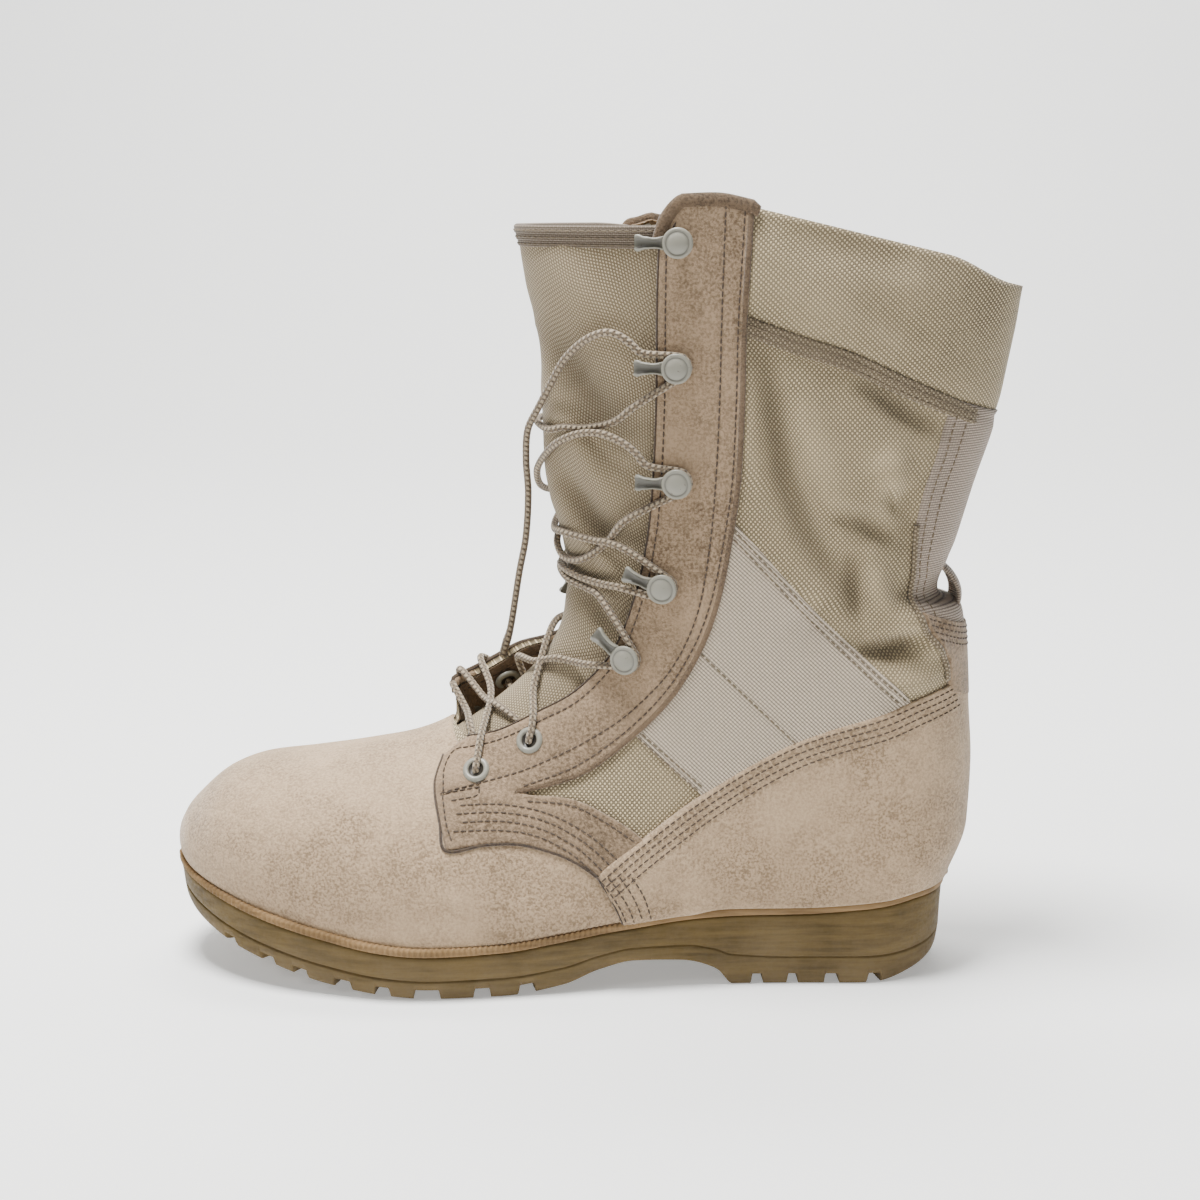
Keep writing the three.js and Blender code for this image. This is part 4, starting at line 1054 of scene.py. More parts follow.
lace = {"radius": 1.45, "sides": 16, "step": 0.7, "beside": 4.5, "lift": 2.7, "hookBase": 0.3,
        "overFacing": 0.4, "diameter": 0.0032, "tipSwell": 0.22, "bulge": 0.05}
laceLoop = [
    (-0.074, -0.0346, 0.2068), (-0.081, -0.0346, 0.2084), (-0.085, -0.034, 0.213), (-0.0905, -0.0326, 0.217),
    (-0.0985, -0.0294, 0.2198), (-0.107, -0.0246, 0.219), (-0.1153, -0.0174, 0.2145),
    (-0.1206, -0.008, 0.208),
    (-0.1234, 0.0015, 0.201), (-0.122, 0.013, 0.1935), (-0.116, 0.025, 0.191), (-0.108, 0.035, 0.198),
    (-0.101, 0.042, 0.209), (-0.094, 0.044, 0.222), (-0.088, 0.042, 0.234), (-0.0845, 0.0375, 0.242),
]
laceEnd = [
    (-0.076, -0.0359, 0.25), (-0.083, -0.0354, 0.2508), (-0.0874, -0.035, 0.2546), (-0.0928, -0.0342, 0.2578),
    (-0.0984, -0.0318, 0.2578), (-0.1053, -0.027, 0.254), (-0.1122, -0.021, 0.2468),
    (-0.1172, -0.016, 0.2376),
    (-0.1224, -0.01, 0.2275), (-0.1268, -0.003, 0.218), (-0.1278, 0.004, 0.205), (-0.1272, 0.0085, 0.191),
    (-0.1284, 0.012, 0.173), (-0.1314, 0.015, 0.157), (-0.135, 0.019, 0.135), (-0.1374, 0.022, 0.126),
    (-0.14, 0.0255, 0.116),
]


def frameAt(s, t, tilt, out):
    # ahead points to the facing's front edge, turned up by tilt, and normal points away from the form
    normal = formNormal(s, t)
    turn = math.radians(tilt)
    ahead = np.array([-math.cos(turn), 0, math.sin(turn)])
    ahead = unit(ahead - normal * (ahead @ normal))
    return skin(s, t, out), ahead, np.cross(normal, ahead), normal


def onFacing(x, z, side):
    # (s, t) of a place on the lateral facing; the medial one keeps its distance from the front edge
    s, t = placeOnForm(x, z, lateral)
    return (s, t) if side == lateral else (s, edgeT(medial, s) + edgeT(lateral, s) - t)


def hookFrame(side, number):
    # place, ahead, up and normal of a hook's foot
    x, z, tilt = hookPlaces[number - 1]
    return frameAt(*onFacing(x, z, side), tilt, lace["hookBase"])


def roundPost(side, number):
    # half a circle behind the post, from below to above
    place, forward, up, normal = hookFrame(side, number)
    level = place + normal * (lace["lift"] - lace["hookBase"])
    r = lace["beside"]
    return [level - forward * r * math.cos(a) + up * side * r * math.sin(a)
            for a in np.radians([-90, -50, 0, 50, 90])]


def onForm(rows):
    # rows of (s, t, out); what runs over the facings lies a little higher
    return [skin(s, t, out + lace["overFacing"] * (out > 1.5)) for s, t, out in rows]


def throughEyelet(side, number, outward):
    # from behind the facing to above it, or the other way
    s, t = onFacing(*eyeletPlaces[number - 1], side)
    points = [skin(s, t, out) for out in (-4.4, -1.6, 1.0, 2.6)]
    return points if outward else points[::-1]


def laceTube(path, radius):
    # ring of points carried along a path by frames that don't twist
    forward = unit(np.gradient(path, axis=0))
    normals = np.empty_like(path)
    first = np.cross(forward[0], [0.0, 0, 1])
    normals[0] = unit(first if np.linalg.norm(first) > 0.1 else np.cross(forward[0], [0.0, 1, 0]))
    for i in range(1, len(path)):
        normals[i] = unit(normals[i - 1] - forward[i] * (normals[i - 1] @ forward[i]))
    across = np.cross(forward, normals)
    around = np.linspace(0, 1, lace["sides"] + 1)
    angle = (around * 2 * np.pi)[:, None]
    run = runAlong(path)
    # the braid's yarns bulge a little
    turns, steps = around[None] * braid["yarns"], run[:, None] / braid["pitch"]
    wave = np.maximum(*(np.abs(np.sin(np.pi * (turns + way * steps))) for way in (1, -1)))
    r = radius[:, None] * (1 - lace["bulge"] + lace["bulge"] * wave)
    ring = normals[:, None] * np.cos(angle) + across[:, None] * np.sin(angle)
    points = closeEnds(path[:, None] + ring * r[..., None], path)
    return points, np.stack(np.broadcast_arrays(around[None], np.pad(run, 1, "edge")[:, None]), -1)


def addLace(name, points, replaces=(), tip=0.0):
    # lace along the curve through the points; its last tip millimetres swell where the yarns spread
    path = smoothLine(points, lace["step"])
    left = (len(path) - 1 - np.arange(len(path))) * lace["step"]
    swell = 1 + lace["tipSwell"] * smoothstep(tip - left, -4, 4) if tip else np.ones(len(path))
    surface, uv = laceTube(path, lace["radius"] * swell)
    piece = addGrid(name, surface, looks["lace"], "lace", uv, replaces)
    weld(piece)
    return piece, path


def addLaces():
    # one half of the lace from the lowest bar to the slack loop, the other to the loose end
    firstHalf = (
        throughEyelet(medial, 1, True)
        + onForm([(9.25, 0.07, 2.3), (9.3, 0, 0.2), (9.3, -0.08, -1.3), (9.25, -0.14, -2.6),
                  (9.15, -0.2, -4.6)])
        + throughEyelet(lateral, 1, True)
        + onForm([(9.32, -0.235, 3), (9.5, -0.2, 2.5), (9.75, -0.13, -0.6), (10, -0.05, -1.3),
                  (10.15, 0.03, -0.5),
                  (10.2, 0.095, 2.3)])
        + throughEyelet(medial, 2, False)
        + onForm([(10.6, 0.14, -4.8), (10.85, 0.1, -4.2), (11.15, 0.05, -1.6), (11.5, -0.04, -1.3),
                  (12.02, -0.13, -1.3), (12.25, -0.18, -1.2), (12.5, -0.225, 1.6), (12.7, -0.25, 2.4)])
        + roundPost(lateral, 1)
        + onForm([(14, -0.275, 2.3), (14.25, -0.235, 0.6), (14.15, -0.19, -1.4), (14, -0.1, -1.3),
                  (14.1, 0, -1.3),
                  (14.5, 0.12, -1.3), (14.9, 0.22, 0.2), (15.15, 0.285, 2.4)])
        + roundPost(medial, 2)
        + onForm([(16, 0.3, 2.4), (15.7, 0.24, 0.2), (15.2, 0.12, -1.3), (14.75, 0, -1.3),
                  (14.5, -0.08, -1.3),
                  (14.72, -0.166, -1.3), (15.16, -0.23, -1.3), (15.99, -0.311, -0.8), (16.74, -0.369, 1.6)])
        + roundPost(lateral, 3)
        + [np.array(laceLoop[0]) / mm]
    )
    secondHalf = (
        throughEyelet(medial, 1, True)
        + onForm([(9.6, 0.08, 2.6), (9.85, 0, -0.3), (10.1, -0.1, -1.3), (10.25, -0.17, -2.6),
                  (10.3, -0.22, -4.6)])
        + throughEyelet(lateral, 2, True)
        + onForm([(10.55, -0.25, 3), (10.75, -0.222, 2.3), (11.05, -0.16, -0.6), (11.5, -0.1, -1.3),
                  (12.2, 0, -1.3),
                  (12.6, 0.08, -0.4), (12.85, 0.15, 2.3)])
        + roundPost(medial, 1)
        + onForm([(13.85, 0.225, 2.4), (14, 0.15, 0.2), (14.1, 0.08, -1.3), (14.15, 0, -1.3),
                  (14.2, -0.1, -1.3),
                  (14.35, -0.183, -1.3), (14.6, -0.25, 0.2), (14.9, -0.31, 2.3)])
        + roundPost(lateral, 2)
        + onForm([(16.05, -0.36, 2.3), (15.95, -0.31, 0.6), (15.7, -0.26, -1.4), (15.3, -0.13, -1.3),
                  (15.1, 0, -1.3),
                  (15.6, 0.13, -1.3), (16.5, 0.25, -1.2), (17.3, 0.33, 1.6)])
        + roundPost(medial, 3)
        + onForm([(18.85, 0.36, 2.4), (18.6, 0.28, -0.2), (18.3, 0.15, -1.3), (18.05, 0, -1.3),
                  (18.04, -0.134, -1.3),
                  (18.43, -0.212, -1.3), (18.87, -0.29, -1.2), (19.63, -0.364, 0.6), (20.4, -0.415, 2.3)])
        + roundPost(lateral, 4)
        + [np.array(laceEnd[0]) / mm]
    )
    addLace("laceFirstHalf", firstHalf, ["lace_crossing_1", "lace_crossing_2", "lace_crossing_3"])
    addLace("laceSecondHalf", secondHalf, ["lace_crossing_4", "lace_crossing_5", "lace_crossing_6"])
    for name, route, node, tip, farEnd in (
        ("laceLoop", laceLoop, "lace_loop", 0, "object"),
        ("laceEnd", laceEnd, "lace_end", 16, "bare"),
    ):
        piece, path = addLace(name, np.array(route) / mm, [node], tip)


def addShell():
    # cloth wall of the whole upper: the outer face, the collar's rim and the inner face of one grid
    rows = np.concatenate([np.linspace(0, 8, 26)[:-1], np.linspace(8, 13, 60)[:-1], np.linspace(13, 24, 118)])
    rows = np.sort(np.concatenate([rows, [throatStart, throatStart + 0.004]]))
    columns = 78
    share = (1 - np.cos(np.linspace(0, 1, columns) * np.pi)) / 2 * 0.5 + np.linspace(0, 1, columns) * 0.5
    parts, faces, uvs, heights, start = [], [], [], [], 0
    for side in (lateral, medial):
        edge = edgeT(side, rows)[:, None]
        t = edge + (side - edge) * share[None]
        # the top front corner is rounded off
        corner = np.clip(1 - share * 6.5, 0, 1)[None]
        s = rows[:, None] - smoothstep(rows, 20, 24)[:, None] * 0.55 * corner**2.2
        outer, lining = (skin(s, t, out) for out in (0, -upper["wall"]))
        # the cloth runs level round the shaft, and a little askew in the collar
        run = runAlong(outer[..., :2], axis=1)
        middle = columns // 2
        u = outer[:, middle:middle + 1, 0] + run - run[:, middle:middle + 1]
        uv = np.stack([u, outer[..., 2] - 0.17 * u * smoothstep(aboveCollar(outer), -5, -3)], -1)
        grid = np.concatenate([outer, lining[::-1]])
        # the folds' heights are painted as shade and highlight on the outer face, and not at all on the inner
        # face
        fold = relief(formPoint(s, t), s, t)
        heights.append(np.concatenate([fold, 0 * fold]))
        parts.append(grid)
        uvs.append(np.concatenate([uv, uv[::-1]]))
        faces.append(gridFaces(len(grid), columns, flip=side == lateral, start=start))
        n, m = len(rows), columns
        front = np.flatnonzero(rows[:-1] >= throatStart - 1e-9)
        under = np.flatnonzero(rows[:-1] < upper["heelSection"])
        twin = lambda k: 2 * n - 1 - k
        throat = np.stack([front, twin(front), twin(front + 1), front + 1], -1) * m
        foot = np.stack([under + 1, twin(under + 1), twin(under), under], -1) * m + m - 1
        rim = np.vstack([throat, foot]) + start
        faces.append(rim[:, ::-1] if side == medial else rim)
        start += grid.shape[0] * grid.shape[1]
    points = np.concatenate([p.reshape(-1, 3) for p in parts])
    uv = np.concatenate([u.reshape(-1, 2) for u in uvs])
    piece = addMesh("shaftShell", points, np.vstack(faces), looks["shaft"], uv, ["upper"])
    setFoldShade(piece, np.concatenate([h.ravel() for h in heights]))
    weld(piece)


vamp = {"thick": 1.0, "rear": 9.9, "wall": 0.8}


def addVamp():
    # suede over the toe, one grid from side to side, with its rear edge under the facings
    rows = np.concatenate([np.linspace(0.0, 1, 14)[:-1], np.linspace(1, 10, 120)]) / 10
    t = np.linspace(-1, 1, 190)[None]
    rear = throatStart + 0.02 + (vamp["rear"] - throatStart) * smoothstep(np.abs(t), 0.12, 0.5)
    s = rows[:, None] * rear
    out = np.full(s.shape, vamp["thick"])
    out[-1] = -0.2
    points = skin(s, t, out)
    piece = addGrid("vamp", points, looks["vamp"], "suede", points[..., [0, 2]])
    weld(piece)
    thicken(piece, vamp["wall"])


counter = {
    "top": [(-99.6, 47.4), (-82.3, 61.4), (-56.2, 80.6), (-23.3, 100.1), (9, 110.2), (24, 116), (40, 120.5)],
    "front": [(-88.2, 26), (-93.7, 37.9), (-99.6, 47.4)],
    "thick": 1.1,
    "rowGap": 2.6,
    "roll": 0.035,
    "lift": 0.3,
    "overFlap": 1.2,
    "wall": 0.8,
}


def crossingT(s, line):
    # t where the section at s crosses a line of the side view
    x, z = smoothLine(line, 2).T
    lineS, lineT = placeOnForm(x, z, lateral)
    order = np.argsort(lineS)
    return np.interp(s, lineS[order], lineT[order])


def counterLift(x):
    # the counter lies on the cloth, and in front of the ankle over the facing's flap
    return counter["lift"] + counter["overFlap"] * smoothstep(-x, 50, 64)


def addCounter():
    # suede cup round the heel: for each section, from its top edge to the foot, both sides in one grid
    lastS = placeOnForm(*counter["top"][-1], lateral)[0] + 0.03
    firstS = placeOnForm(*counter["front"][0], lateral)[0]
    s = np.linspace(firstS, lastS, 150)[:, None]
    top = crossingT(s, counter["front"][:-1] + counter["top"])
    share = np.concatenate([[0, 0.004, 0.02, 0.05, 0.09], np.linspace(0.13, 1, 66)])[None]
    t = top + (-1 - top) * share
    out = counterLift(formPoint(s, t)[..., 0]) + counter["thick"] * rolledEdge(share, counter["roll"])
    out[:, 0] = -0.3
    left, right = skin(s, t, out), skin(*toMedial(s, t), out)
    # below the heel's corner both sides end at the foot, above it they meet at the back seam
    points = np.concatenate([left, right[:, ::-1]], axis=1)
    quads = gridFaces(*points.shape[:2], flip=True)
    quads = quads[quads.min(axis=1) % points.shape[1] != share.size - 1]
    piece = addMesh("counter", points, quads, looks["vamp"], points[..., [0, 2]])
    weld(piece)
    thicken(piece, counter["wall"])


facing = {
    "front": [(-160.5, 89)] + facingEdges[lateral][:-1] + [(-76.4, 292)],
    "top": [(-76.4, 292), (-73.5, 300.5), (-67, 305.6), (-55.1, 304.4), (-42.6, 300.2)],
    "rear": [(-42.6, 300.2), (-44.6, 261.7), (-45, 233), (-46, 202.6), (-48.8, 179.5), (-53.1, 156.1),
             (-59.8, 136.4), (-71.2, 116.4), (-86.7, 100.3), (-106.2, 86.1), (-131.5, 78.6)],
    "flapTop": [(-131.5, 78.6), (-127.3, 77.8), (-110.5, 76.8), (-97.6, 71.9), (-82.3, 62.1), (-70, 47),
                (-66, 30)],
    "flapFoot": [(-66, 30), (-88.2, 26.2)],
    "flapRear": [(-88.2, 26.2), (-93.7, 37.9), (-99.6, 47.4), (-107.4, 52.8), (-116.8, 56.9), (-130, 60.1),
                 (-142.9, 60.1), (-158.3, 58.3)],
    "flapFront": [(-158.3, 58.3), (-161, 68), (-163.5, 80), (-160.5, 89)],
    "thick": 1.0,
    "lift": 0.35,
    "flapLift": 0.9,
}
facingRows = {
    # stitch rows of the facing: along its front, its middle and its rear, then the flap's four
    "front": [(-160, 77.5), (-159.8, 85), (-156, 90.5), (-149, 92.6), (-137, 96.5), (-120.5, 105),
              (-105, 114.6),
              (-90.4, 132), (-81.5, 156), (-76.9, 179.6), (-74.9, 203), (-73.9, 234), (-73.9, 270),
              (-73.4, 291),
              (-70.5, 298)],
    "middle": [(-161.5, 77), (-140, 82.5), (-124, 88), (-103, 98.5), (-85.5, 111), (-70.5, 128.5), (-61, 150),
               (-56.5, 176), (-54.4, 203), (-53.4, 234), (-53, 265), (-52, 302)],
    "rear": [(-128.5, 80.5), (-107.2, 89), (-88.5, 102.4), (-73.6, 118), (-62.2, 137.2), (-55.4, 156.6),
             (-51, 179.9), (-48.2, 202.8), (-47.2, 233), (-46.8, 261.7), (-44.9, 300)],
    "flapTop": [(-127, 75.4), (-110.8, 74.4), (-98.9, 69.6), (-84, 60)],
    "flapA": [(-153.5, 73.4), (-136, 74), (-119, 71.2), (-103.5, 63.8), (-91.5, 53.5), (-82.5, 41.5),
              (-78.5, 30.5)],
    "flapB": [(-155, 70.6), (-136, 71.2), (-120, 68.4), (-105.2, 61), (-94, 51), (-86, 40), (-81.8, 30)],
    "flapC": [(-152.5, 67.8), (-136, 68.2), (-121, 65.4), (-107.2, 58.4), (-96.8, 48.8), (-89.2, 38.5),
              (-85, 29.4)],
    "flapD": [(-156, 64.8), (-136, 65), (-122, 62.6), (-109.2, 56), (-99.4, 47), (-92, 37.2), (-88, 28.9)],
    "flapFront": [(-160.3, 77), (-158.6, 68), (-156.4, 62)],
    "tackA": [(-159.5, 77.2), (-146, 79.6)],
    "tackB": [(-146, 79.6), (-146.6, 76.8), (-158.5, 74.6)],
}


def facingLift(s):
    # the flap lies higher, over the vamp, and the facing above it on the cloth
    return facing["lift"] + (facing["flapLift"] - facing["lift"]) * (1 - smoothstep(s, 10.2, 12))


def addFacings():
    # the strip beside the throat with its flap over the vamp, in one pattern
    rows = list(facingRows.values())
    outline = [facing[k] for k in ("front", "top", "rear", "flapTop", "flapFoot", "flapRear", "flapFront")]
    for side, end in bothSides:
        panel("facing" + end, outline, side, looks["facing"], facing["thick"], facingLift, rows)
        lines = [sideRow(row, side, lambda s: facingLift(s) + facing["thick"] - 0.25) for row in rows]
        addStitches("facing" + end + "Stitches", lines, looks["thread"])


bands = {
    # two strips of webbing across the ankle; each ends under the facing and under the counter
    "upper": [[(-40, 178.5), (-50, 186), (-56, 165), (-66, 140)], [(-66, 140), (-21.3, 98)],
              [(-21.3, 98), (20, 111), (21.5, 117)], [(21.5, 117), (-14, 150), (-40, 178.5)]],
    "lower": [[(-60, 139.5), (-74, 128), (-92, 108)], [(-92, 108), (-80, 97), (-56, 76)],
              [(-56, 76), (-36, 90), (-19, 98.5)], [(-19, 98.5), (-59.8, 137.5), (-60, 139.5)]],
    "thick": 0.65,
    "turn": -43,
}
bandLift = {"upper": 0.15, "lower": 0.0}
bandRows = {
    "upper": [[(-48, 184), (-14.5, 148.5), (20.5, 115.5)], [(-49.4, 182), (-16, 146.6), (18.5, 114)],
              [(-64, 139.2), (-23, 100.3)]],
    "lower": [[(-86, 102.5), (-60, 80.3)], [(-84.4, 104), (-58.5, 82)]],
}


def addBands():
    # the webbing's ribs run along each strip
    for side, end in bothSides:
        lines = []
        for part, lift in bandLift.items():
            panel(part + "Band" + end, bands[part], side, looks["webbing"], bands["thick"], lift,
                  bandRows[part], uvTurn=bands["turn"])
            lines += [sideRow(row, side, bands["thick"] + lift - 0.2) for row in bandRows[part]]
        addStitches("bandStitches" + end, lines, looks["paleThread"])


collar = {"line": collarLine[1:-1] + [(47, 227)], "low": -5.6, "high": 1.0, "rows": (-4.3, -1.7), "thick": 1.1}


def addCollarSeam():
    # band of cloth under the padding, with two rows
    rows = [beside(collar["line"], gap) for gap in collar["rows"]]
    outline = strip(collar["line"], collar["low"], collar["high"])
    for side, end in bothSides:
        panel("collarSeam" + end, outline, side, looks["seam"], collar["thick"], 0.2, rows,
              spacing=2.4)
        addStitches("collarStitches" + end, [sideRow(row, side, collar["thick"] - 0.05) for row in rows],
                    looks["paleThread"])


backstay = {
    "seam": [(38.5, 118), (37.2, 122.3), (34.6, 131.4), (29.6, 139.1), (24.5, 148.2), (22.6, 165),
             (23.2, 184.4),
             (25.1, 197.4), (29.6, 210.3), (34, 226), (35.4, 233)],
    "roped": slice(1, 7),
    "rope": 2.4,
    "thick": 0.9,
    "roll": 0.05,
    "wall": 0.8,
}
backTab = {
    "seam": [(38.5, 117), (35.4, 131.4), (30.4, 139.1), (25.6, 148.2), (25, 154)],
    "rows": (0.1, 0.22, 0.34, 0.46),
    "thick": 1.7,
}
pullLoop = {
    "side": [(42.5, 143.5), (45.4, 147.5), (46.4, 151.5), (45.8, 156), (43.4, 160.6), (40.2, 164),
             (36.5, 166)],
    "half": 10.5,
    "step": 0.7,
    "bow": 0.02,
    "thick": 1.3,
}


def addBackPiece(name, line, sRange, thick, material, slot, rows):
    # band over the back seam between a line on the lateral side and its mirror
    s = np.linspace(*sRange, rows)[:, None]
    front = crossingT(s, line)
    share = np.concatenate([[0, 0.006, 0.03, 0.07], np.linspace(0.11, 1, 26)])[None]
    t = front + (-1 - front) * share
    out = thick * rolledEdge(share, backstay["roll"]) + 0 * s
    out[:, 0] = -0.3
    left, right = skin(s, t, out), skin(*toMedial(s, t), out)
    points = np.concatenate([left, right[:, -2::-1]], axis=1)
    run = runAlong(points, axis=1)
    uv = np.stack([run - run[:, share.size - 1:share.size], points[..., 2]], -1)
    thicken(addGrid(name, points, material, slot, uv, flip=True), backstay["wall"])
    return s[:, 0], front[:, 0]


def addBackstay():
    # webbing over the back seam with two rows and a rope edge on each side
    span = (placeOnForm(38.2, 119, lateral)[0], placeOnForm(35.2, 232, lateral)[0])
    s, front = addBackPiece("backstay", backstay["seam"], span, backstay["thick"], looks["backing"], "cloth",
                            70)
    rows = [(s[2:-2], (front + (-1 - front) * gap)[2:-2], backstay["thick"] - 0.05) for gap in (0.08, 0.2)]
    addStitches("backstayStitches", withMedial(rows), looks["paleThread"])
    for side, end in bothSides:
        addBinding("backRope" + end, backstay["seam"][backstay["roped"]], side, 0.9, looks["seam"],
                   backstay["rope"], "cloth")


def addBackTab():
    # raised suede tab at the ankle, its rows parallel to its top
    span = (placeOnForm(38.2, 117.5, lateral)[0], placeOnForm(25.2, 150.5, lateral)[0])
    s, front = addBackPiece("backTab", backTab["seam"], span, backTab["thick"], looks["facing"], "suede", 60)
    rows = []
    for level in (span[1] - gap for gap in backTab["rows"]):
        t = np.linspace(float(np.interp(level, s, front)) - 0.01, -0.999, 30)
        rows.append((np.full(len(t), level), t, backTab["thick"] - 0.1))
    addStitches("backTabStitches", withMedial(rows), looks["thread"])


def addPullLoop():
    # strap that stands clear of the hollow over the tab, bowed to a parabola across
    side = smoothLine(pullLoop["side"], pullLoop["step"])
    y = np.linspace(-pullLoop["half"], pullLoop["half"], 15)
    points = np.stack(np.broadcast_arrays(side[:, :1], y[None], side[:, 1:]), -1)
    points[..., 0] -= pullLoop["bow"] * y[None] ** 2
    uv = np.stack(np.broadcast_arrays(y[None], np.arange(len(side))[:, None] * pullLoop["step"]), -1)
    thicken(addGrid("pullLoop", points, looks["backing"], "cloth", uv, flip=True), pullLoop["thick"])


def addCounterStitches():
    # four rows under the counter's top edge, up to the back seam
    rows = []
    for k in range(4):
        s, t, _ = sideRow(beside(counter["top"], -(2.2 + k * counter["rowGap"])), lateral, 0)
        s, t = s[t > -0.995], t[t > -0.995]
        rows.append((s, t, counterLift(formPoint(s, t)[:, 0]) + counter["thick"] - 0.1))
    rows = withMedial(rows)
    # the flap's four rows run on over the counter to the foot
    for name in ("flapA", "flapB", "flapC", "flapD"):
        line = smoothLine(facingRows[name], 1)
        for side in (lateral, medial):
            s, t, _ = sideRow(line[line[:, 1] < counter["top"][0][1] + 0.6], side, 0)
            rows.append((s, t, counterLift(formPoint(s, t)[:, 0]) + counter["thick"] - 0.05))
    addStitches("counterStitches", rows, looks["thread"])


tongue = {
    "thick": 1.8,
    "overlap": 0.09,
    "topZ": 297,
    "binding": 9,
    "rowHeight": 26,  # millimetres between neighbouring sections at the top
    # diagonal creases as lines of (x, z) in the side view
    "creases": [
        {"line": [(-128, 262), (-104, 232), (-84, 205)], "width": 9, "depth": -4.7},
        {"line": [(-124, 290), (-100, 268), (-80, 246)], "width": 11, "depth": 2.9},
        {"line": [(-120, 232), (-100, 205), (-82, 188)], "width": 7, "depth": 3.1},
        {"line": [(-118, 205), (-104, 186), (-86, 172)], "width": 6, "depth": -4.3},
        {"line": [(-114, 180), (-100, 172), (-86, 158)], "width": 4, "depth": 2.3},
        {"line": [(-116, 160), (-104, 152), (-92, 140)], "width": 4.5, "depth": -3.1},
    ],
}


def addTongue():
    # sheet behind the facings from the throat's foot to a level top edge, with its creases
    start = throatStart - 0.75
    rows = np.linspace(0, 1, 220)[:, None]
    columns = np.linspace(0, 1, 100)[None]
    middle = start + (lastSection - start) * rows
    low = edgeT(lateral, middle) - tongue["overlap"]
    high = edgeT(medial, middle) + tongue["overlap"]
    t = low + (high - low) * columns
    top = np.full(t.shape, float(lastSection))
    bottom = np.full(t.shape, throatStart)
    for _ in range(24):
        s = (top + bottom) / 2
        below = (formPoint(s, t) - upper["wall"] * formNormal(s, t))[..., 2] < tongue["topZ"]
        bottom, top = np.where(below, s, bottom), np.where(below, top, s)
    s = start + (bottom - start) * rows
    flat = formPoint(s, t)
    creases = foldHeight(flat[..., 0], flat[..., 2], tongue["creases"])
    creases *= smoothstep(columns * (1 - columns), 0.03, 0.2)
    out = creases - upper["wall"] - upper["tongueClear"]
    points = skin(s, t, out)
    run, along = runAlong(points, axis=1), runAlong(points)
    u = run - run[:, 50:51]
    # the weave lies askew, by the angle whose cosine is 0.8
    uv = np.stack([u * 0.8 + along * 0.6, along * 0.8 - u * 0.6], -1)
    piece = addGrid("tongue", points, looks["tongue"], "cloth", uv, ["tongue"])
    # the creases are painted as shade in their troughs and highlight on their ridges
    setFoldShade(piece, creases)
    thicken(piece, tongue["thick"])
    addTongueBinding(s[-1][None], t[-1][None], out[-1][None], u[-1])


def addTongueBinding(topS, topT, topOut, u):
    # tape folded over the top edge, in three steps down its front, each with a row of stitches
    level = np.linspace(0, 1, 26)[:, None]
    t = topT + 0 * level
    reach = topS - tongue["binding"] / tongue["rowHeight"] * (1 - level)
    rise = 0.75 + 0.5 * smoothstep(level, 0.32, 0.36) + 0.5 * smoothstep(level, 0.64, 0.68)
    rise[:2] = [[-0.2], [0.6]]
    front = skin(reach, t, topOut + rise)
    inward = -formNormal(topS, topT)
    lips = [front[-1:] + inward * depth + np.array([0, 0, height])
            for depth, height in ((0.8, 0.6), (3.6, 0.4))]
    behind = skin(reach, t, topOut - tongue["thick"] - 0.9)[::-1]
    points = np.concatenate([front, *lips, behind])
    uv = np.stack(np.broadcast_arrays(u[None], np.arange(len(points))[:, None] * 0.35), -1)
    addGrid("tongueBinding", points, looks["tape"], "cloth", uv)
    ends = slice(3, -3)
    lines = [(reach[row][ends], topT[0][ends], (topOut[0] + rise[row] - 0.05)[ends]) for row in (4, 12, 20)]
    addStitches("tongueStitches", lines, looks["paleThread"])


def addFlapLining():
    # suede on the inner face of the standing flap, with one row along its edge; it takes the binding suede,
    # greyer than the facing and darker as painted shade inside the flap
    s = np.linspace(throatStart + 0.02, 13.2, 60)[:, None]
    t = edgeT(medial, s) + np.linspace(0.003, 0.2, 24)[None]
    points = skin(s, t, -2.75)
    thicken(addGrid("flapLining", points, looks["binding"], "suede", points[..., [0, 2]]), 0.3)
    line = np.linspace(throatStart + 0.1, 13, 80)
    addStitches("flapStitches", [(line, edgeT(medial, line) + 0.032, -3.05)], looks["thread"])


bindings = {
    # line, height over the form, look and width
    "topBinding": ([(-76.6, 290)] + facing["top"] + [(-42.8, 297)], 0.9, "binding", 5.5),
    "counterEdge": (counter["front"][::-1], 1.6, "cutEdge", 1.0),
    "flapEdge": (facing["flapRear"][2:] + facing["flapFront"][1:], 1.05, "cutEdge", 1.3),
    "frontEdge": (facing["front"][1:], lambda s: facingLift(s) + 0.2, "cutEdge", 1.0),
    "rearPiping": (facing["rear"], 0.75, "binding", 2.4),
}


def addBindings():
    # each binding on both sides
    for side, end in bothSides:
        for name, (line, out, look, width) in bindings.items():
            addBinding(name + end, line, side, out, looks[look], width, "suede")


tread = {"pitch": 11, "depth": 2, "slope": 0.75}
# grooves from the sole's edge: place, width, reach inwards and turn in degrees
grooves = table(
    ["x", "width", "reach", "turn"],
    [
        [-249, 6, 17, -52],
        [-232.4, 6.6, 19, -38],
        [-218.4, 6.4, 20, -28],
        [-200.4, 7.2, 22, -16],
        [-184, 6, 22, -8],
        [-166, 10, 22, 0],
        [-144.2, 6.4, 20, 6],
        [-126.4, 6.4, 18, 12],
        [-35.8, 4.4, 15, 0],
        [-21.6, 4, 15, 0],
        [-6, 5.6, 15, 0],
        [12, 5.5, 15, 18],
    ],
)


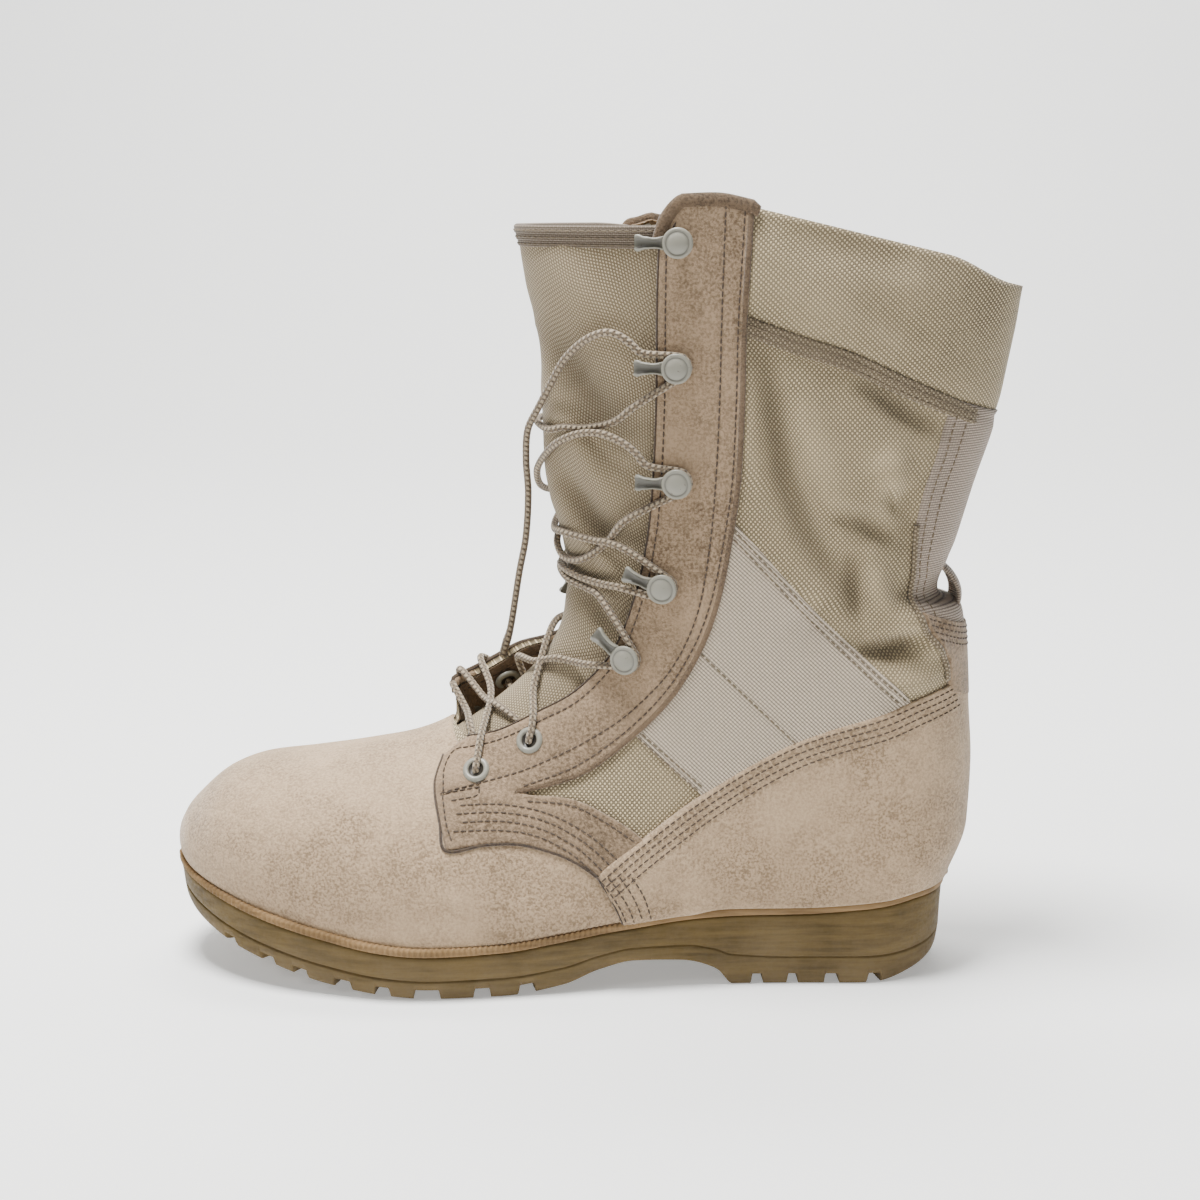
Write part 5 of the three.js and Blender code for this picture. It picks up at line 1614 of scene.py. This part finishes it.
def grooveMask(x, y):
    # 1 inside a groove, which runs in from the edge and is turned about its place there
    mask = np.zeros(x.shape)
    for gx, width, reach, turn in zip(*grooves.values()):
        for side in (lateral, medial):
            ex, ey = outlinePoint(gx, side, 0)
            a = math.radians(turn) * -side
            u = (x - ex) * math.cos(a) + (y - ey) * math.sin(a)
            v = (y - ey) * math.cos(a) - (x - ex) * math.sin(a)
            across = 1 - smoothstep(np.abs(u), width / 2 - 0.35, width / 2 + 0.35)
            mask = np.maximum(mask, across * (1 - smoothstep(np.abs(v), reach - 0.8, reach + 0.8)))
    return mask


def stationsAlong(count):
    # closer together towards both rounded ends
    v = np.linspace(0, 1, count)
    share = v * 0.72 + (1 - np.cos(v * np.pi)) / 2 * 0.28
    return sole["toeTip"] + (sole["heelEnd"] - sole["toeTip"]) * share


def outlineRing(x, levels):
    # a ring of points at each x: up the lateral side through the levels of (inset, z), down the other
    halves = [np.stack([np.stack([*outlinePoint(x, side, inset), z + 0 * x], -1) for inset, z in levels], 1)
              for side in (lateral, medial)]
    return np.concatenate([halves[0], halves[1][:, ::-1]], axis=1)


def addSole():
    # moulded wall with its parting line, shelf for the welt and grooved underside
    x = stationsAlong(900)
    middle = sole["middleInset"]
    top, split, bottom = (soleValue(k, x) for k in ("top", "split", "bottom"))
    shelf = top - sole["weltHeight"] - 0.25
    wall = [(4.4, bottom), (3.7, bottom + 0.25), (3.1, bottom + 0.8), (2.6, bottom + 2.2),
            (2.3, (bottom + split) / 2), (1.9, split - 0.9), (2.0, split - 0.45), (2.5, split - 0.1),
            (2.5, split + 0.1), (1.9, split + 0.45), (1.7, split + 0.9), (1.4, (split + shelf) / 2),
            (1.0, shelf - 2.4), (0.9, shelf - 1), (1.2, shelf - 0.2), (1.9, shelf), (14.3, shelf),
            (14.3, top),
            (30, top), (middle, top)]
    under = [(inset, bottom)
             for inset in (middle, 43, 40, 37, 34, 31, 28, 25, 22, 19.5, 17, 14.5, 12, 10, 8, 6.4, 5.2)]
    ring = outlineRing(x, under + wall)
    px, py, pz = np.moveaxis(ring, -1, 0)
    low = soleValue("bottom", px)
    # chevrons under the forefoot and the heel, none in the arch nor near the edge
    slant = px + np.abs(py - soleValue("centre", px)) * tread["slope"]
    level = np.arange(ring.shape[1])
    level = np.minimum(level, level[::-1])[None]
    inside = 1 - smoothstep(level, 9.5, 12.5)
    arch = smoothstep(px, -112, -104) * (1 - smoothstep(px, -50, -44))
    cut = smoothstep(np.sin(slant * 2 * np.pi / tread["pitch"]), 0.2, 0.6) * inside * (1 - arch)
    pz = np.where(np.abs(pz - low) < 1e-6, pz + cut * tread["depth"], pz)
    roof = low + sole["grooveDepth"]
    pz = np.where(pz < roof, np.maximum(pz, low + sole["grooveDepth"] * grooveMask(px, py)), pz)
    ring[..., 2] = pz
    weld(addGrid("soleUnit", ring, looks["rubber"], "rubber", ring[..., [0, 2]], ["midsole", "outsole"],
                 flip=True, wrapColumns=True))


welt = {"ribPitch": 2.15, "ribDepth": 0.55, "fadeFrom": -95, "fadeTo": -70}


def addWelt():
    # band round the sole's upper edge, ribbed round the toe
    x = stationsAlong(880)
    loopX = np.concatenate([x[:-1], x[:0:-1]])
    side = np.concatenate([np.full(len(x) - 1, lateral), np.full(len(x) - 1, medial)])
    ex, ey = outlinePoint(loopX, side, 0)
    run = np.concatenate(([0], np.cumsum(np.hypot(np.diff(ex), np.diff(ey)))))
    rib = np.clip(0.5 + 0.9 * np.cos(run * 2 * np.pi / welt["ribPitch"]), 0, 1)
    strength = 1 - smoothstep(loopX, welt["fadeFrom"], welt["fadeTo"])
    dip = (1 - rib) * strength * welt["ribDepth"]
    # inset, drop below the top and share of the ribs' depth at each corner of the band
    corners = [(0.7, 3.4, 0), (0.15, 3.1, 0.4), (0, 2.4, 1), (0, 1.5, 1), (0.15, 0.8, 1), (0.6, 0.25, 1),
               (1.3, 0.02, 0.8), (2.4, 0, 0.5), (3.6, 0, 0), (14, 0, 0), (14, 3.4, 0)]
    rows = []
    for inset, drop, share in corners:
        px, py = outlinePoint(loopX, side, inset + dip * share)
        sink = dip * share * (0.7 if drop < 0.3 else 0)
        rows.append(np.stack([px, py, soleValue("top", px) - drop - sink], -1))
    ring = np.stack(rows, 1)
    uv = np.stack([np.broadcast_to(run[:, None], ring.shape[:2]), ring[..., 2]], -1)
    weld(addGrid("weltBand", ring, looks["welt"], "welt", uv, ["welt"], wrapRows=True, wrapColumns=True))


def addFootLine():
    # dark cord in the corner between the upper and the welt: painted shadow of the gap there, and its dark
    # glue line
    s = np.linspace(0.25, upper["heelSection"], 420)
    halves = [skin(s, side, 0.1) + np.array([0, 0, 0.25]) for side in (lateral, medial)]
    addTube("footLine", np.concatenate([halves[0][::-1], halves[1]]), 0.6, looks["cutEdge"], "suede")


insole = {"gap": 2.2, "low": 1, "thick": 4}


def addInsole():
    # footbed clear of the upper's wall, a little raised round its edge
    inset, low = sole["featherInset"] + upper["wall"] + insole["gap"], insole["low"]
    high, middle = low + insole["thick"], sole["middleInset"]
    ring = outlineRing(stationsAlong(160), [
        (middle, low), (30, low), (inset, low), (inset, high - 1), (inset + 0.4, high - 0.3),
        (inset + 1.2, high),
        (18, high - 0.2), (26, high - 0.4), (36, high - 0.5), (middle, high - 0.5),
    ])
    ring[..., 2] += soleValue("top", ring[..., 0])
    weld(addGrid("footbed", ring, looks["felt"], "footbed", ring[..., [0, 1]], ["insole"], flip=True,
                 wrapColumns=True))


hook = {"tabZ": 3.9, "postRadius": 2.4, "washerSides": 26, "discSides": 40}
eyelet = {"sunk": 0.35, "behind": -3.0, "sides": 40}


def lathe(profile, sides):
    # profile rows of (radius, height), closed on the axis at both ends
    r, h = np.array(profile, float).T
    angle = np.linspace(0, 2 * np.pi, sides, endpoint=False)
    x, y, z = r[:, None] * np.cos(angle), r[:, None] * np.sin(angle), h[:, None]
    points = np.stack(np.broadcast_arrays(x, y, z), -1)
    return points.reshape(-1, 3), gridFaces(len(r), sides, wrapColumns=True, flip=True)


def hookMesh():
    # washer, post, channel tab with raised rims that widens to its lip, and a domed disc
    z = hook["tabZ"]
    parts = [
        lathe([(0, 0), (4.6, 0), (4.7, 0.35), (4.2, 0.7), (2.6, 0.8), (hook["postRadius"], 1.1),
               (hook["postRadius"], z + 0.3), (0, z + 0.3)], hook["washerSides"]),
        lathe([(0, z + 0.7), (5.4, z + 0.7), (5.75, z + 1.0), (5.75, z + 1.75), (5.45, z + 2.1),
               (4.9, z + 2.25),
               (4.5, z + 2.2), (4.25, z + 2.05), (4.0, z + 2.15), (3.4, z + 2.6), (2, z + 3), (0.8, z + 3.15),
               (0, z + 3.15)], hook["discSides"]),
    ]
    # the tab's stations, half breadth, droop at the lip and cross-section
    x = np.concatenate([[-0.4], np.linspace(0.2, 14.4, 20), [15.2, 15.8, 16]])
    half = 2.7 - 0.75 * smoothstep(x, 4, 8.5) + 0.35 * smoothstep(x, 9, 12) + 1.0 * smoothstep(x, 12, 15.4)
    half *= np.sqrt(np.clip(1 - (np.clip(x - 13.9, 0, 2.1) / 2.35) ** 2, 0, 1)) * 0.35 + 0.65
    half[-1] *= 0.9
    curl = 0.8 * smoothstep(x, 11, 16)
    across = np.array([-1, -1.02, -0.96, -0.82, -0.62, -0.3, 0, 0.3, 0.62, 0.82, 0.96, 1.02, 1])
    upTo = np.array([0.35, 1.4, 2.3, 2.5, 1.25, 1.05, 1.0, 1.05, 1.25, 2.5, 2.3, 1.4, 0.35])
    rim = smoothstep(x, 4.5, 7)[:, None] * (1 - 0.5 * smoothstep(x, 14.6, 16)[:, None])
    topHeight = z + np.minimum(upTo, 1.1)[None] + np.maximum(upTo - 1.1, 0)[None] * rim - curl[:, None]
    topFace = np.stack(np.broadcast_arrays(x[:, None], half[:, None] * across, topHeight), -1)
    lowFace = np.stack(np.broadcast_arrays(x[:, None], half[:, None] * across[::-1] * 0.97,
                                           (z + 0.05 - curl)[:, None]), -1)
    section = np.concatenate([topFace, lowFace], axis=1)
    section = closeEnds(section, section.mean(1))
    parts.append((section.reshape(-1, 3), gridFaces(*section.shape[:2], wrapColumns=True)))
    # painted shade lies in the ring groove of the disc, under it, under the tab and along the channel
    channel = np.array([-1, -0.5, 0, 0, -3, -3.4, -3.4, -3.4, -3, 0, 0, -0.5, -1]) * (0.25 + 0.75 * rim)
    channel = np.pad(channel, ((1, 1), (0, 0)))
    dirtAndShade = [np.repeat([0, 0, -1, -1.5, -2, -2.5, -2.5, -2.5], hook["washerSides"]),
            np.repeat([-3, -2, -0.5, 0, 0, 0, -1, -2.6, -1, 0, 0, 0, 0], hook["discSides"]),
            np.concatenate([channel, np.full_like(channel, -2.0)], 1).ravel()]
    return *joined(parts), np.concatenate(dirtAndShade)


def joined(parts):
    # points and faces of several parts as one
    starts = np.cumsum([0] + [len(points) for points, _ in parts])
    return (np.vstack([points for points, _ in parts]),
            np.vstack([faces + start for (_, faces), start in zip(parts, starts)]))


def placed(points, place, ahead, up, normal):
    # points given along ahead, up and normal, moved to a place
    return place + points @ np.array([ahead, up, normal])


def addMetal(name, points, faces, dirtAndShade, node):
    # a hook or an eyelet; its painted shade is read like the troughs of the cloth
    piece = addMesh(name, points, faces, looks["metal"], None, [node])
    setFoldShade(piece, dirtAndShade)
    weld(piece)


def addHooks(side, end):
    # one on each of the side's places
    points, faces, dirtAndShade = hookMesh()
    for number in range(1, len(hookPlaces) + 1):
        addMetal(f"hook{end}{number}", placed(points, *hookFrame(side, number)), faces, dirtAndShade,
                 f"hook_{end.lower()}_{number}")


def addEyelets(side, end):
    # rolled ring round a hole closed by a disc painted dark as shade; the medial flap shows the back of its
    # eyelets as well
    ring, ringFaces = lathe([(0, 0.6), (2.98, 0.6), (3.05, 0.75), (3.5, 1.25), (4.2, 1.35), (4.9, 1.1),
                             (5.35, 0.5), (5.45, 0), (5.1, -0.3), (3.4, -1.6), (0, -1.6)], eyelet["sides"])
    ringShade = np.repeat([-5, -5, -2, 0, 0, 0, -0.5, -2, -3, -3, -3], eyelet["sides"])
    for number, (x, z) in enumerate(eyeletPlaces, 1):
        s, t = onFacing(x, z, side)
        front = frameAt(s, t, 0, facingLift(s) + facing["thick"] - eyelet["sunk"])
        parts = [(placed(ring, *front), ringFaces)]
        if side == medial:
            place, ahead, up, normal = frameAt(s, t, 0, eyelet["behind"])
            parts.append((placed(ring, place, ahead, -up, -normal), ringFaces))
        addMetal(f"eyelet{end}{number}", *joined(parts), np.tile(ringShade, len(parts)),
                 f"eyelet_{end.lower()}_{number}")


addLaces()
print("lace done")
addShell()
addVamp()
addFacings()
addBands()
addCounter()
addCounterStitches()
addCollarSeam()
addBackstay()
addBackTab()
addPullLoop()
print("upper done")
addTongue()
addFlapLining()
addBindings()
addSole()
addWelt()
addFootLine()
addInsole()
for side, end in bothSides:
    addHooks(side, end)
    addEyelets(side, end)
print("sole and hardware done")
